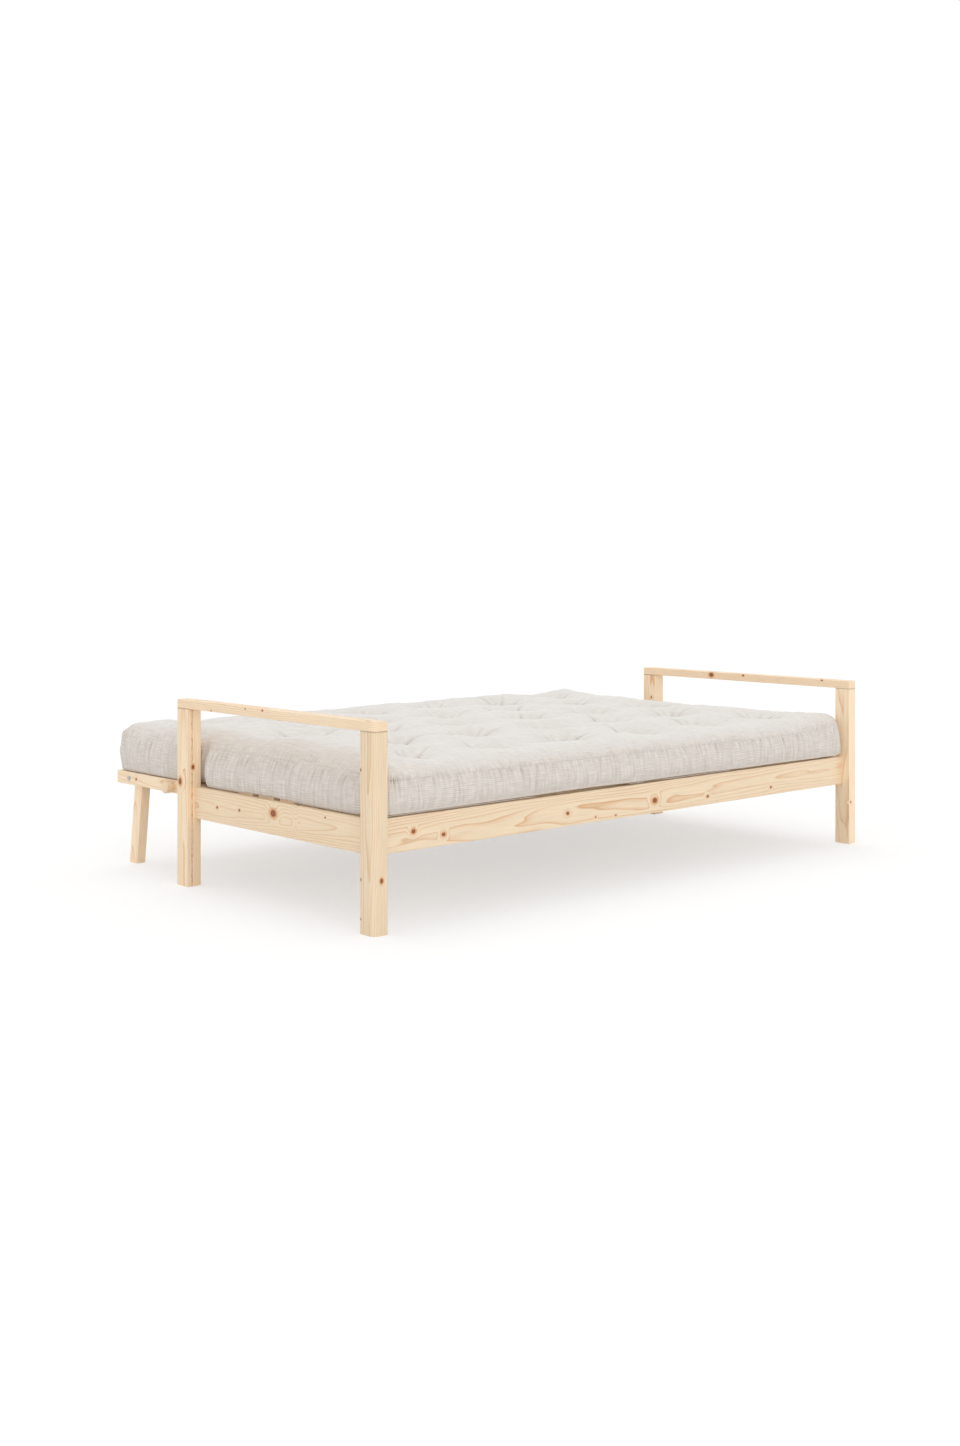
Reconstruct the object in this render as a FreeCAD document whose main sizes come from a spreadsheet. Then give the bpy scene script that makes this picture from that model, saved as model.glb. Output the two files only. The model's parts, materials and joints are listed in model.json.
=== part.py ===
import FreeCAD
import Part
import Sketcher

import math
import os
import re
from collections import defaultdict

# A pine sofa bed: a four-post base with plank arms and a slatted seat, a slatted back that folds
# down behind it on two hinge bolts and then stands on swinging legs, and a futon over both.
# X runs along the sofa, Y to the rear, Z up. The origin is on the floor, under the bed's middle.

# Driving dimensions in millimetres, and angles in degrees
SIZES = {
    "frame_length": 2040,
    "frame_depth": 906,
    "bed_depth": 1329,
    "arm_height": 535,
    "arm_thick": 25,
    "post_width": 45,
    "post_depth": 55,
    "corner_round": 18,
    "edge_round": 1.5,
    "rail_bottom": 195,
    "rail_height": 90,
    "front_rail_setback": 31,
    "front_rail_thick": 24,
    "side_rail_thick": 21,
    "rear_rail_thick": 21,
    "rear_rail_gap": 28,
    "cleat_width": 20,
    "cleat_height": 28,
    "slat_width": 70,
    "slat_thick": 14,
    "slat_proud": 6,
    "slat_end_gap": 1,
    "slat_margin": 40,
    "slat_least_gap": 15,
    "beam_width": 34,
    "beam_rise": 8,
    "hinge_setback": 27,
    "back_rail_gap": 5,
    "back_rail_thick": 34,
    "back_rail_height": 38,
    "back_slat_proud": 5,
    "back_slat_start": 26,
    "housing_depth": 17,
    "housing_gap": 0.3,
    "cross_rail_depth": 45,
    "cross_rail_start": 21,
    "leg_width": 42,
    "leg_thick": 30,
    "leg_lean": 7.3,
    "leg_inset": 70,
    "leg_room": 60,
    "leg_side_gap": 0.5,
    "stop_gap": 0.3,
    "knob_diameter": 35,
    "knob_length": 30,
    "knob_setback": 105,
    "knob_round": 4,
    "neck_diameter": 24,
    "neck_length": 8,
    "tenon_diameter": 12,
    "tenon_length": 20,
    "dowel_diameter": 10,
    "dowel_length": 40,
    "dowel_shallow": 14,
    "dowel_end_gap": 1,
    "rail_dowel_spacing": 40,
    "side_dowel_spacing": 66,
    "arm_dowel_spacing": 26,
    "arm_dowel_depth": 15,
    "cross_dowel_spacing": 16,
    "beam_dowel_spacing": 18,
    "fit_gap": 0.05,
    "turn_gap": 0.3,
    "hinge_bolt_diameter": 10,
    "hinge_bolt_depth": 30,
    "hinge_head_diameter": 20,
    "hinge_head_thick": 5,
    "spacer_diameter": 24,
    "leg_bolt_diameter": 8,
    "leg_head_diameter": 13,
    "leg_head_thick": 3,
    "leg_nut_thick": 6,
    "screw_diameter": 4,
    "screw_head_diameter": 8,
    "screw_head_thick": 2.5,
    "slat_screw_length": 26,
    "cleat_screw_length": 30,
    "cleat_screw_inset": 60,
    "cleat_screw_height": 7,
    "bracket_screw_length": 16,
    "bracket_screw_spacing": 18,
    "bracket_screw_inset": 25,
    "bracket_leg": 35,
    "bracket_height": 40,
    "bracket_thick": 2.5,
    "bracket_lift": 5,
    "mattress_end_gap": 8,
    "mattress_setback": 10,
    "mattress_thick": 153,
    "mattress_round": 60,
    "mattress_foot_round": 16,
    "tuft_depth": 32,
    "tuft_width": 220,
    "tuft_knot_width": 12,
    "tuft_end_inset": 217,
    "tuft_side_inset": 189.5,
    "fold_angle": 70,
    "fold_gap": 0.3,
}
SEAT_SLATS = 7
CLEAT_SCREWS = 4
TUFT_ROWS = (6, 5, 6, 5, 6)
SIDES = {"left": -1, "right": 1}
STRAIGHT = 1e-6

# Places that several pieces share, as formulas of the driving dimensions
FRONT = "(-bed_depth / 2)"
FRONT_POST_BACK = f"({FRONT} + post_depth)"
REAR_POST_BACK = f"({FRONT} + frame_depth)"
REAR_POST_FRONT = f"({REAR_POST_BACK} - post_depth)"
POST_OUTER = "(frame_length / 2)"
POST_INNER = f"({POST_OUTER} - post_width)"
POST_TOP = "(arm_height - arm_thick)"
RAIL_TOP = "(rail_bottom + rail_height)"
RAIL_MIDDLE = "(rail_bottom + rail_height / 2)"
FRONT_RAIL_FACE = f"({FRONT} + front_rail_setback)"
FRONT_RAIL_BACK = f"({FRONT_RAIL_FACE} + front_rail_thick)"
REAR_RAIL_BACK = f"({REAR_POST_FRONT} - rear_rail_gap)"
REAR_RAIL_FACE = f"({REAR_RAIL_BACK} - rear_rail_thick)"
SLAT_TOP = f"({RAIL_TOP} + slat_proud)"
SLAT_UNDER = f"({SLAT_TOP} - slat_thick)"
SEAT_DEPTH = f"({REAR_RAIL_FACE} - {FRONT_RAIL_BACK})"
BEAM_UNDER = "(rail_bottom + beam_rise)"
BACK_END = "(bed_depth / 2)"
BACK_RAIL_OUTER = f"({POST_INNER} - back_rail_gap)"
BACK_RAIL_INNER = f"({BACK_RAIL_OUTER} - back_rail_thick)"
BACK_RAIL_TOP = f"({SLAT_TOP} - back_slat_proud)"
BACK_RAIL_UNDER = f"({BACK_RAIL_TOP} - back_rail_height)"
HINGE_Y = f"({REAR_POST_BACK} - hinge_setback)"
HINGE_Z = f"({BACK_RAIL_UNDER} + back_rail_height / 2)"
CROSS_RAIL_FACE = f"({HINGE_Y} + cross_rail_start)"
CROSS_RAIL_BACK = f"({CROSS_RAIL_FACE} + cross_rail_depth)"
LEG_Y = f"({BACK_END} - leg_inset)"
BACK_SLAT_FACE = f"({HINGE_Y} + back_slat_start)"
LEG_STOP = (
    f"({LEG_Y} + tan(leg_lean) * back_rail_height / 2"
    " + leg_width / 2 / cos(leg_lean) + stop_gap)"
)
KNOB_Y = f"({REAR_POST_BACK} + knob_setback)"
FUTON_END = f"({POST_INNER} - mattress_end_gap)"
FUTON_FACE = f"({FRONT} + mattress_setback)"
FUTON_DEPTH = f"({BACK_END} - {FUTON_FACE})"
FUTON_TOP = f"({SLAT_TOP} + mattress_thick)"

# The turn that lays a bar made along Z onto each direction
TURNS = {
    "x": FreeCAD.Rotation(FreeCAD.Vector(0, 1, 0), 90),
    "-x": FreeCAD.Rotation(FreeCAD.Vector(0, 1, 0), -90),
    "y": FreeCAD.Rotation(FreeCAD.Vector(1, 0, 0), -90),
    "-y": FreeCAD.Rotation(FreeCAD.Vector(1, 0, 0), 90),
    "z": FreeCAD.Rotation(),
    "-z": FreeCAD.Rotation(FreeCAD.Vector(1, 0, 0), 180),
}

doc = FreeCAD.newDocument("sofa_bed")
sheet = doc.addObject("Spreadsheet::Sheet", "sizes")
for row, (alias, value) in enumerate(SIZES.items(), 1):
    sheet.set(f"A{row}", alias)
    sheet.set(f"B{row}", str(value))
    sheet.setAlias(f"B{row}", alias)
doc.recompute()

blanks = {}
holes = defaultdict(list)
groups = defaultdict(list)


def bind(thing, path, formula):
    """Ties a property to a formula in which each word with an underscore is a size of the sheet."""
    thing.setExpression(path, re.sub(r"[a-z]+(?:_[a-z]+)+", r"sizes.\g<0>", formula))


def put(thing, point):
    for axis, formula in zip("xyz", point):
        bind(thing, f"Placement.Base.{axis}", formula)


def box(name, corner, size):
    solid = doc.addObject("Part::Box", name)
    for side, formula in zip(("Length", "Width", "Height"), size):
        bind(solid, side, formula)
    put(solid, corner)
    return solid


def rod(name, point, axis, diameter, length):
    """A round bar that starts at a point and runs along an axis."""
    solid = doc.addObject("Part::Cylinder", name)
    bind(solid, "Radius", f"({diameter}) / 2")
    bind(solid, "Height", length)
    solid.Placement = FreeCAD.Placement(FreeCAD.Vector(), TURNS[axis])
    put(solid, point)
    return solid


def moved(point, axis, distance):
    """The point, taken a distance along an axis."""
    sign = "-" if axis.startswith("-") else "+"
    place = "xyz".index(axis[-1])
    return tuple(f"{v} {sign} ({distance})" if i == place else v for i, v in enumerate(point))


def cut(name, base, tools):
    result = doc.addObject("Part::Cut", name)
    result.Base = base
    result.Tool = tools[0] if len(tools) == 1 else gather(f"{name}_cuts", tools)
    return result


def fuse(name, solids):
    result = doc.addObject("Part::MultiFuse", name)
    result.Shapes = solids
    return result


def gather(name, solids):
    result = doc.addObject("Part::Compound", name)
    result.Links = solids
    return result


def runs_along(edge, axis):
    ends = [vertex.Point for vertex in edge.Vertexes]
    step = ends[-1] - ends[0]
    along = abs(step["xyz".index(axis)])
    return along > 0 and step.Length - along < STRAIGHT


def ease(solid, size, wanted):
    """Rounds the edges of a solid that are wanted."""
    doc.recompute()
    radius = sheet.get(size)
    edges = [n for n, edge in enumerate(solid.Shape.Edges, 1) if wanted(edge)]
    result = doc.addObject("Part::Fillet", f"{solid.Name}_eased")
    result.Base = solid
    result.Edges = [(n, radius, radius) for n in edges]
    return result


def plank(name, corner, size, axis):
    """A straight board with eased edges along its length."""
    board = box(f"{name}_board", corner, size)
    blanks[name] = ease(board, "edge_round", lambda edge: runs_along(edge, axis))


def low_side(sign, near, far):
    """The lower X of a piece that reaches from near to far on one side of the middle."""
    return near if sign > 0 else f"-({far})"


def outward(sign):
    return "x" if sign > 0 else "-x"


def inward(sign):
    return "-x" if sign > 0 else "x"


def round_corner_plank(name, sign, corner, size, wanted):
    """A board whose outer front corner is well rounded, with its other wanted edges eased."""
    board = box(f"{name}_board", corner, size)
    doc.recompute()
    uprights = [edge for edge in board.Shape.Edges if runs_along(edge, "z")]
    outer = max(uprights, key=lambda edge: sign * edge.CenterOfMass.x - edge.CenterOfMass.y)
    rounded = ease(board, "corner_round", lambda edge: edge.isSame(outer))
    blanks[name] = ease(rounded, "edge_round", wanted)


def round_end_bar(name, length, width, thick):
    """A bar along Y, rounded about the origin at one end, with its thickness along X."""
    body = doc.addObject("PartDesign::Body", name)
    sketch = body.newObject("Sketcher::SketchObject", f"{name}_outline")
    plane = next(part for part in body.Origin.OriginFeatures if part.Role == "YZ_Plane")
    sketch.AttachmentSupport = (plane, [""])
    sketch.MapMode = "FlatFace"
    half = sheet.get(width) / 2
    reach = 10 * half
    corners = [(0, half), (reach, half), (reach, -half), (0, -half)]
    points = [FreeCAD.Vector(u, v, 0) for u, v in corners]
    circle = Part.Circle(FreeCAD.Vector(), FreeCAD.Vector(0, 0, 1), half)
    sketch.addGeometry(Part.ArcOfCircle(circle, math.pi / 2, 3 * math.pi / 2))
    for start, end in zip(points, points[1:]):
        sketch.addGeometry(Part.LineSegment(start, end))
    link = sketch.addConstraint
    constraint = Sketcher.Constraint
    link(constraint("Coincident", 0, 3, -1, 1))
    link(constraint("Tangent", 1, 1, 0, 1))
    link(constraint("Coincident", 1, 2, 2, 1))
    link(constraint("Coincident", 2, 2, 3, 1))
    link(constraint("Tangent", 3, 2, 0, 2))
    link(constraint("Horizontal", 1))
    link(constraint("Vertical", 2))
    link(constraint("Horizontal", 3))
    bind(sketch, f"Constraints[{link(constraint('Radius', 0, half))}]", f"{width} / 2")
    bind(sketch, f"Constraints[{link(constraint('DistanceX', -1, 1, 1, 2, reach))}]", length)
    pad = body.newObject("PartDesign::Pad", f"{name}_pad")
    pad.Profile = sketch
    bind(pad, "Length", thick)
    doc.recompute()
    rims = [
        f"Edge{n}"
        for n, edge in enumerate(pad.Shape.Edges, 1)
        if edge.BoundBox.XLength < STRAIGHT
    ]
    easing = body.newObject("PartDesign::Fillet", f"{name}_easing")
    easing.Base = (pad, rims)
    bind(easing, "Radius", "edge_round")
    body.Tip = easing
    return body


def dowel(group, point, axis, nodes, length="dowel_length"):
    """A wooden dowel in a hole that runs through all the named pieces."""
    number = len(groups[group]) + 1
    groups[group].append(rod(f"{group}_{number}", point, axis, "dowel_diameter", length))
    mouth = moved(point, axis, "-dowel_end_gap")
    wide = "dowel_diameter + 2 * fit_gap"
    tool = rod(f"{group}_hole_{number}", mouth, axis, wide, f"{length} + 2 * dowel_end_gap")
    for node in nodes:
        holes[node].append(tool)


def screw(group, point, axis, length, nodes):
    """A wood screw whose head bears at a point and whose shank runs through the named pieces."""
    number = len(groups[group]) + 1
    shank = rod(f"{group}_shank_{number}", point, axis, "screw_diameter", length)
    top = moved(point, axis, "-screw_head_thick")
    head = rod(f"{group}_head_{number}", top, axis, "screw_head_diameter", "screw_head_thick")
    groups[group].append(fuse(f"{group}_{number}", [shank, head]))
    wide = "screw_diameter + 2 * fit_gap"
    bore = rod(f"{group}_bore_{number}", point, axis, wide, f"{length} + dowel_end_gap")
    mouth = moved(point, axis, "-screw_head_thick - dowel_end_gap")
    wide = "screw_head_diameter + 2 * fit_gap"
    deep = "screw_head_thick + dowel_end_gap"
    recess = rod(f"{group}_recess_{number}", mouth, axis, wide, deep)
    tool = fuse(f"{group}_hole_{number}", [bore, recess])
    for node in nodes:
        holes[node].append(tool)


def spread(middle, spacing):
    """Two places, half a spacing to each side of the middle."""
    return [f"({middle} {sign} {spacing} / 2)" for sign in "-+"]


# Posts and armrests

for side, sign in SIDES.items():
    x = low_side(sign, POST_INNER, POST_OUTER)
    size = ("post_width", "post_depth", POST_TOP)
    round_corner_plank(
        f"post_front_{side}", sign, (x, FRONT, "0"), size, lambda edge: runs_along(edge, "z")
    )
    plank(f"post_rear_{side}", (x, REAR_POST_FRONT, "0"), size, "z")
    round_corner_plank(
        f"armrest_{side}",
        sign,
        (x, FRONT, POST_TOP),
        ("post_width", "frame_depth", "arm_thick"),
        lambda edge: True,
    )
    dowel_x = f"{sign} * ({POST_OUTER} - post_width / 2)"
    for post, post_y in (("front", FRONT), ("rear", REAR_POST_FRONT)):
        for y in spread(f"({post_y} + post_depth / 2)", "arm_dowel_spacing"):
            start = (dowel_x, y, f"{POST_TOP} + arm_dowel_depth")
            dowel("arm_dowels", start, "-z", [f"post_{post}_{side}", f"armrest_{side}"])

# Rails of the base

INNER_LENGTH = f"(2 * {POST_INNER})"
plank(
    "front_rail",
    (f"-{POST_INNER}", FRONT_RAIL_FACE, "rail_bottom"),
    (INNER_LENGTH, "front_rail_thick", "rail_height"),
    "x",
)
plank(
    "rear_rail",
    (f"-{POST_INNER}", REAR_RAIL_FACE, "rail_bottom"),
    (INNER_LENGTH, "rear_rail_thick", f"({SLAT_UNDER} - rail_bottom)"),
    "x",
)
for side, sign in SIDES.items():
    plank(
        f"side_rail_{side}",
        (low_side(sign, POST_INNER, f"{POST_INNER} + side_rail_thick"), FRONT_POST_BACK, "rail_bottom"),
        ("side_rail_thick", f"{REAR_POST_FRONT} - {FRONT_POST_BACK}", "rail_height"),
        "y",
    )
    for z in spread(RAIL_MIDDLE, "rail_dowel_spacing"):
        y = f"{FRONT_RAIL_FACE} + front_rail_thick / 2"
        start = (f"{sign} * ({POST_INNER} - dowel_length / 2)", y, z)
        dowel("rail_dowels", start, outward(sign), ["front_rail", f"post_front_{side}"])
        y = f"{REAR_RAIL_FACE} + rear_rail_thick / 2"
        start = (f"{sign} * ({POST_INNER} + dowel_shallow)", y, z)
        dowel("rail_dowels", start, inward(sign), ["rear_rail", f"side_rail_{side}"])
    for z in spread(RAIL_MIDDLE, "side_dowel_spacing"):
        x = f"{sign} * ({POST_INNER} + side_rail_thick / 2)"
        start = (x, f"{FRONT_POST_BACK} - dowel_length / 2", z)
        dowel("rail_dowels", start, "y", [f"side_rail_{side}", f"post_front_{side}"])
        start = (x, f"{REAR_POST_FRONT} - dowel_length / 2", z)
        dowel("rail_dowels", start, "y", [f"side_rail_{side}", f"post_rear_{side}"])

# Centre beam under the seat, and the cleats on the side rails

plank(
    "centre_beam",
    ("-beam_width / 2", FRONT_RAIL_BACK, BEAM_UNDER),
    ("beam_width", SEAT_DEPTH, f"{SLAT_UNDER} - {BEAM_UNDER}"),
    "y",
)
for x in spread("0", "beam_dowel_spacing"):
    middle = f"({SLAT_UNDER} + {BEAM_UNDER}) / 2"
    start = (x, f"{FRONT_RAIL_BACK} - dowel_shallow", middle)
    dowel("rail_dowels", start, "y", ["front_rail", "centre_beam"])
    start = (x, f"{REAR_RAIL_FACE} + dowel_shallow", middle)
    dowel("rail_dowels", start, "-y", ["rear_rail", "centre_beam"])

CLEAT_INNER = f"({POST_INNER} - cleat_width)"
CLEAT_UNDER = f"({SLAT_UNDER} - cleat_height)"
for side, sign in SIDES.items():
    plank(
        f"slat_cleat_{side}",
        (low_side(sign, CLEAT_INNER, POST_INNER), FRONT_RAIL_BACK, CLEAT_UNDER),
        ("cleat_width", SEAT_DEPTH, "cleat_height"),
        "y",
    )
    for n in range(CLEAT_SCREWS):
        step = f"{n} * ({SEAT_DEPTH} - 2 * cleat_screw_inset) / {CLEAT_SCREWS - 1}"
        point = (
            f"{sign} * ({CLEAT_INNER} + screw_head_thick)",
            f"{FRONT_RAIL_BACK} + cleat_screw_inset + {step}",
            f"{CLEAT_UNDER} + cleat_screw_height",
        )
        pieces = [f"slat_cleat_{side}", f"side_rail_{side}"]
        screw("cleat_screws", point, outward(sign), "cleat_screw_length", pieces)

# Seat slats

for n in range(SEAT_SLATS):
    pitch = f"({SEAT_DEPTH} - 2 * slat_margin - slat_width) / {SEAT_SLATS - 1}"
    y = f"({FRONT_RAIL_BACK} + slat_margin + {n} * {pitch})"
    half = f"({POST_INNER} - slat_end_gap)"
    name = f"seat_slat_{n + 1}"
    plank(name, (f"-{half}", y, SLAT_UNDER), (f"2 * {half}", "slat_width", "slat_thick"), "x")
    ends = {
        "slat_cleat_left": f"-({CLEAT_INNER} + cleat_width / 2)",
        "centre_beam": "0",
        "slat_cleat_right": f"{CLEAT_INNER} + cleat_width / 2",
    }
    for carrier, x in ends.items():
        point = (x, f"{y} + slat_width / 2", f"{SLAT_TOP} - screw_head_thick")
        screw("seat_slat_screws", point, "-z", "slat_screw_length", [name, carrier])

# Steel corner brackets between the rails

BRACKET_UNDER = "(rail_bottom + bracket_lift)"
for side, sign in SIDES.items():
    corners = {
        "front_rail": (FRONT_RAIL_BACK, FRONT_RAIL_BACK, FRONT_RAIL_BACK, "-y", "+"),
        "rear_rail": (
            f"({REAR_RAIL_FACE} - bracket_thick)",
            f"({REAR_RAIL_FACE} - bracket_leg)",
            REAR_RAIL_FACE,
            "y",
            "-",
        ),
    }
    for rail, (plate_y, wing_y, face, drive, away) in corners.items():
        plate = box(
            f"bracket_plate_{rail}_{side}",
            (low_side(sign, f"{POST_INNER} - bracket_leg", POST_INNER), plate_y, BRACKET_UNDER),
            ("bracket_leg", "bracket_thick", "bracket_height"),
        )
        wing = box(
            f"bracket_wing_{rail}_{side}",
            (low_side(sign, f"{POST_INNER} - bracket_thick", POST_INNER), wing_y, BRACKET_UNDER),
            ("bracket_thick", "bracket_leg", "bracket_height"),
        )
        bracket = f"bracket_{rail}_{side}"
        for z in spread(f"({BRACKET_UNDER} + bracket_height / 2)", "bracket_screw_spacing"):
            point = (f"{sign} * ({POST_INNER} - bracket_screw_inset)", f"{face} {away} bracket_thick", z)
            screw("bracket_screws", point, drive, "bracket_screw_length", [rail, bracket])
            point = (f"{sign} * ({POST_INNER} - bracket_thick)", f"{face} {away} bracket_screw_inset", z)
            pieces = [f"side_rail_{side}", bracket]
            screw("bracket_screws", point, outward(sign), "bracket_screw_length", pieces)
        angle = fuse(f"{bracket}_angle", [plate, wing])
        groups["corner_brackets"].append(cut(bracket, angle, holes.pop(bracket)))

# Side rails of the back, on the hinge bolts in the rear posts

for side, sign in SIDES.items():
    name = f"back_rail_{side}"
    bar = round_end_bar(f"{name}_bar", f"{BACK_END} - {HINGE_Y}", "back_rail_height", "back_rail_thick")
    put(bar, (low_side(sign, BACK_RAIL_INNER, BACK_RAIL_OUTER), HINGE_Y, HINGE_Z))
    blanks[name] = bar
    point = (f"{sign} * ({BACK_RAIL_INNER} - turn_gap)", HINGE_Y, HINGE_Z)
    reach = "(turn_gap + back_rail_thick + back_rail_gap + hinge_bolt_depth)"
    shank = rod(f"hinge_shank_{side}", point, outward(sign), "hinge_bolt_diameter", reach)
    head = rod(f"hinge_head_{side}", point, inward(sign), "hinge_head_diameter", "hinge_head_thick")
    groups["hinge_bolts"].append(fuse(f"hinge_bolt_{side}", [shank, head]))
    wide = "hinge_bolt_diameter + 2 * fit_gap"
    tool = rod(f"hinge_hole_{side}", point, outward(sign), wide, f"{reach} + dowel_end_gap")
    holes[name].append(tool)
    holes[f"post_rear_{side}"].append(tool)
    face = (f"{sign} * {POST_INNER}", HINGE_Y, HINGE_Z)
    ring = rod(f"spacer_ring_{side}", face, inward(sign), "spacer_diameter", "back_rail_gap - turn_gap")
    groups["hinge_spacers"].append(cut(f"hinge_spacer_{side}", ring, [tool]))

# Knobs on the outer faces of the back rails

for side, sign in SIDES.items():
    seat = (f"{sign} * {BACK_RAIL_OUTER}", KNOB_Y, HINGE_Z)
    tip = moved(seat, outward(sign), "neck_length")
    grip = rod(f"knob_grip_{side}", tip, outward(sign), "knob_diameter", "knob_length - neck_length")
    grip = ease(grip, "knob_round", lambda edge: len(edge.Vertexes) == 1)
    neck = rod(f"knob_neck_{side}", seat, outward(sign), "neck_diameter", "neck_length")
    tenon = rod(f"knob_tenon_{side}", seat, inward(sign), "tenon_diameter", "tenon_length")
    blanks[f"knob_{side}"] = fuse(f"knob_{side}_turning", [grip, neck, tenon])
    wide = "tenon_diameter + 2 * fit_gap"
    tool = rod(f"knob_hole_{side}", seat, inward(sign), wide, "tenon_length + dowel_end_gap")
    holes[f"back_rail_{side}"].append(tool)

# Cross rails and centre beam of the back

plank(
    "back_front_cross_rail",
    (f"-{BACK_RAIL_INNER}", CROSS_RAIL_FACE, BACK_RAIL_UNDER),
    (f"2 * {BACK_RAIL_INNER}", "cross_rail_depth", f"{SLAT_UNDER} - {BACK_RAIL_UNDER}"),
    "x",
)
plank(
    "back_end_cross_rail",
    (f"-{BACK_RAIL_INNER}", LEG_STOP, BACK_RAIL_UNDER),
    (f"2 * {BACK_RAIL_INNER}", f"{BACK_END} - {LEG_STOP}", "back_rail_height"),
    "x",
)
plank(
    "back_centre_beam",
    ("-beam_width / 2", CROSS_RAIL_BACK, BACK_RAIL_UNDER),
    ("beam_width", f"{LEG_STOP} - {CROSS_RAIL_BACK}", f"{SLAT_UNDER} - {BACK_RAIL_UNDER}"),
    "y",
)
CROSS_MIDDLES = {
    "back_front_cross_rail": f"({CROSS_RAIL_FACE} + {CROSS_RAIL_BACK}) / 2",
    "back_end_cross_rail": f"({LEG_STOP} + {BACK_END}) / 2",
}
DOWEL_Z = f"({BACK_RAIL_UNDER} + {SLAT_UNDER}) / 2"
for rail, middle in CROSS_MIDDLES.items():
    for y in spread(f"({middle})", "cross_dowel_spacing"):
        for side, sign in SIDES.items():
            start = (f"{sign} * ({BACK_RAIL_INNER} - dowel_length / 2)", y, DOWEL_Z)
            dowel("back_dowels", start, outward(sign), [rail, f"back_rail_{side}"])
for x in spread("0", "beam_dowel_spacing"):
    for rail, y, hold in (
        ("back_front_cross_rail", CROSS_RAIL_BACK, "dowel_length / 2"),
        ("back_end_cross_rail", LEG_STOP, "dowel_shallow"),
    ):
        dowel("back_dowels", (x, f"{y} - {hold}", DOWEL_Z), "y", [rail, "back_centre_beam"])

# Back slats, as many as the room between hinge and legs takes, housed in notches in the rails

BACK_SLAT_ROOM = f"({LEG_Y} - leg_room - slat_width - {BACK_SLAT_FACE})"
back_length = sheet.get("bed_depth") - sheet.get("frame_depth") + sheet.get("hinge_setback")
kept_clear = ("back_slat_start", "slat_width", "leg_room", "leg_inset")
room = back_length - sum(sheet.get(size) for size in kept_clear)
steps = max(1, int(room // (sheet.get("slat_width") + sheet.get("slat_least_gap"))))
for n in range(steps + 1):
    y = f"({BACK_SLAT_FACE} + {n} * {BACK_SLAT_ROOM} / {steps})"
    half = f"({BACK_RAIL_INNER} + housing_depth - housing_gap)"
    name = f"back_slat_{n + 1}"
    plank(name, (f"-{half}", y, SLAT_UNDER), (f"2 * {half}", "slat_width", "slat_thick"), "x")
    middle_carrier = "back_centre_beam" if n else "back_front_cross_rail"
    ends = {"back_rail_left": -1, middle_carrier: 0, "back_rail_right": 1}
    for carrier, sign in ends.items():
        x = f"{sign} * ({BACK_RAIL_INNER} + housing_depth / 2)"
        point = (x, f"{y} + slat_width / 2", f"{SLAT_TOP} - screw_head_thick")
        screw("back_slat_screws", point, "-z", "slat_screw_length", [name, carrier])
    for side, sign in SIDES.items():
        corner = (
            low_side(sign, f"{BACK_RAIL_INNER} - housing_gap", f"{BACK_RAIL_INNER} + housing_depth"),
            f"{y} - housing_gap",
            SLAT_UNDER,
        )
        size = ("housing_depth + housing_gap", "slat_width + 2 * housing_gap", "slat_thick")
        holes[f"back_rail_{side}"].append(box(f"housing_{n + 1}_{side}", corner, size))

# Swinging legs under the end of the back, each on a bolt

FLOOR_REACH = "frame_length"
floor = box(
    "floor_cut",
    (f"-{FLOOR_REACH} / 2", f"-{FLOOR_REACH} / 2", f"-{HINGE_Z}"),
    (FLOOR_REACH, FLOOR_REACH, HINGE_Z),
)
LEG_OUTER = f"({BACK_RAIL_INNER} - leg_side_gap)"
LEG_INNER = f"({LEG_OUTER} - leg_thick)"
LEGS = {
    "left": (f"-{LEG_OUTER}", f"-{BACK_RAIL_OUTER}", "x", "back_rail_thick", "back_rail_left"),
    "centre": ("beam_width / 2 + leg_side_gap", "-beam_width / 2", "x", "beam_width", "back_centre_beam"),
    "right": (LEG_INNER, BACK_RAIL_OUTER, "-x", "back_rail_thick", "back_rail_right"),
}
for place, (leg_x, bolt_x, drive, carrier_thick, carrier) in LEGS.items():
    name = f"back_leg_{place}"
    bar = round_end_bar(f"{name}_bar", f"{HINGE_Z} + leg_width", "leg_width", "leg_thick")
    bar.Placement = FreeCAD.Placement(FreeCAD.Vector(), TURNS["y"])
    bind(bar, "Placement.Rotation.Angle", "leg_lean - 90")
    put(bar, (leg_x, LEG_Y, HINGE_Z))
    blanks[name] = bar
    holes[name].append(floor)
    point = (bolt_x, LEG_Y, HINGE_Z)
    grip = f"({carrier_thick} + leg_side_gap + leg_thick + turn_gap)"
    back = "-x" if drive == "x" else "x"
    shank = rod(f"leg_shank_{place}", point, drive, "leg_bolt_diameter", f"{grip} + leg_nut_thick")
    head = rod(f"leg_head_{place}", point, back, "leg_head_diameter", "leg_head_thick")
    nut_point = moved(point, drive, grip)
    nut = rod(f"leg_nut_{place}", nut_point, drive, "leg_head_diameter", "leg_nut_thick")
    groups["leg_bolts"].append(fuse(f"leg_bolt_{place}", [shank, head, nut]))
    wide = "leg_bolt_diameter + 2 * fit_gap"
    tool = rod(f"leg_hole_{place}", point, drive, wide, grip)
    holes[name].append(tool)
    holes[carrier].append(tool)

# Futon, with a dimple at each tuft of its staggered rows

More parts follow.
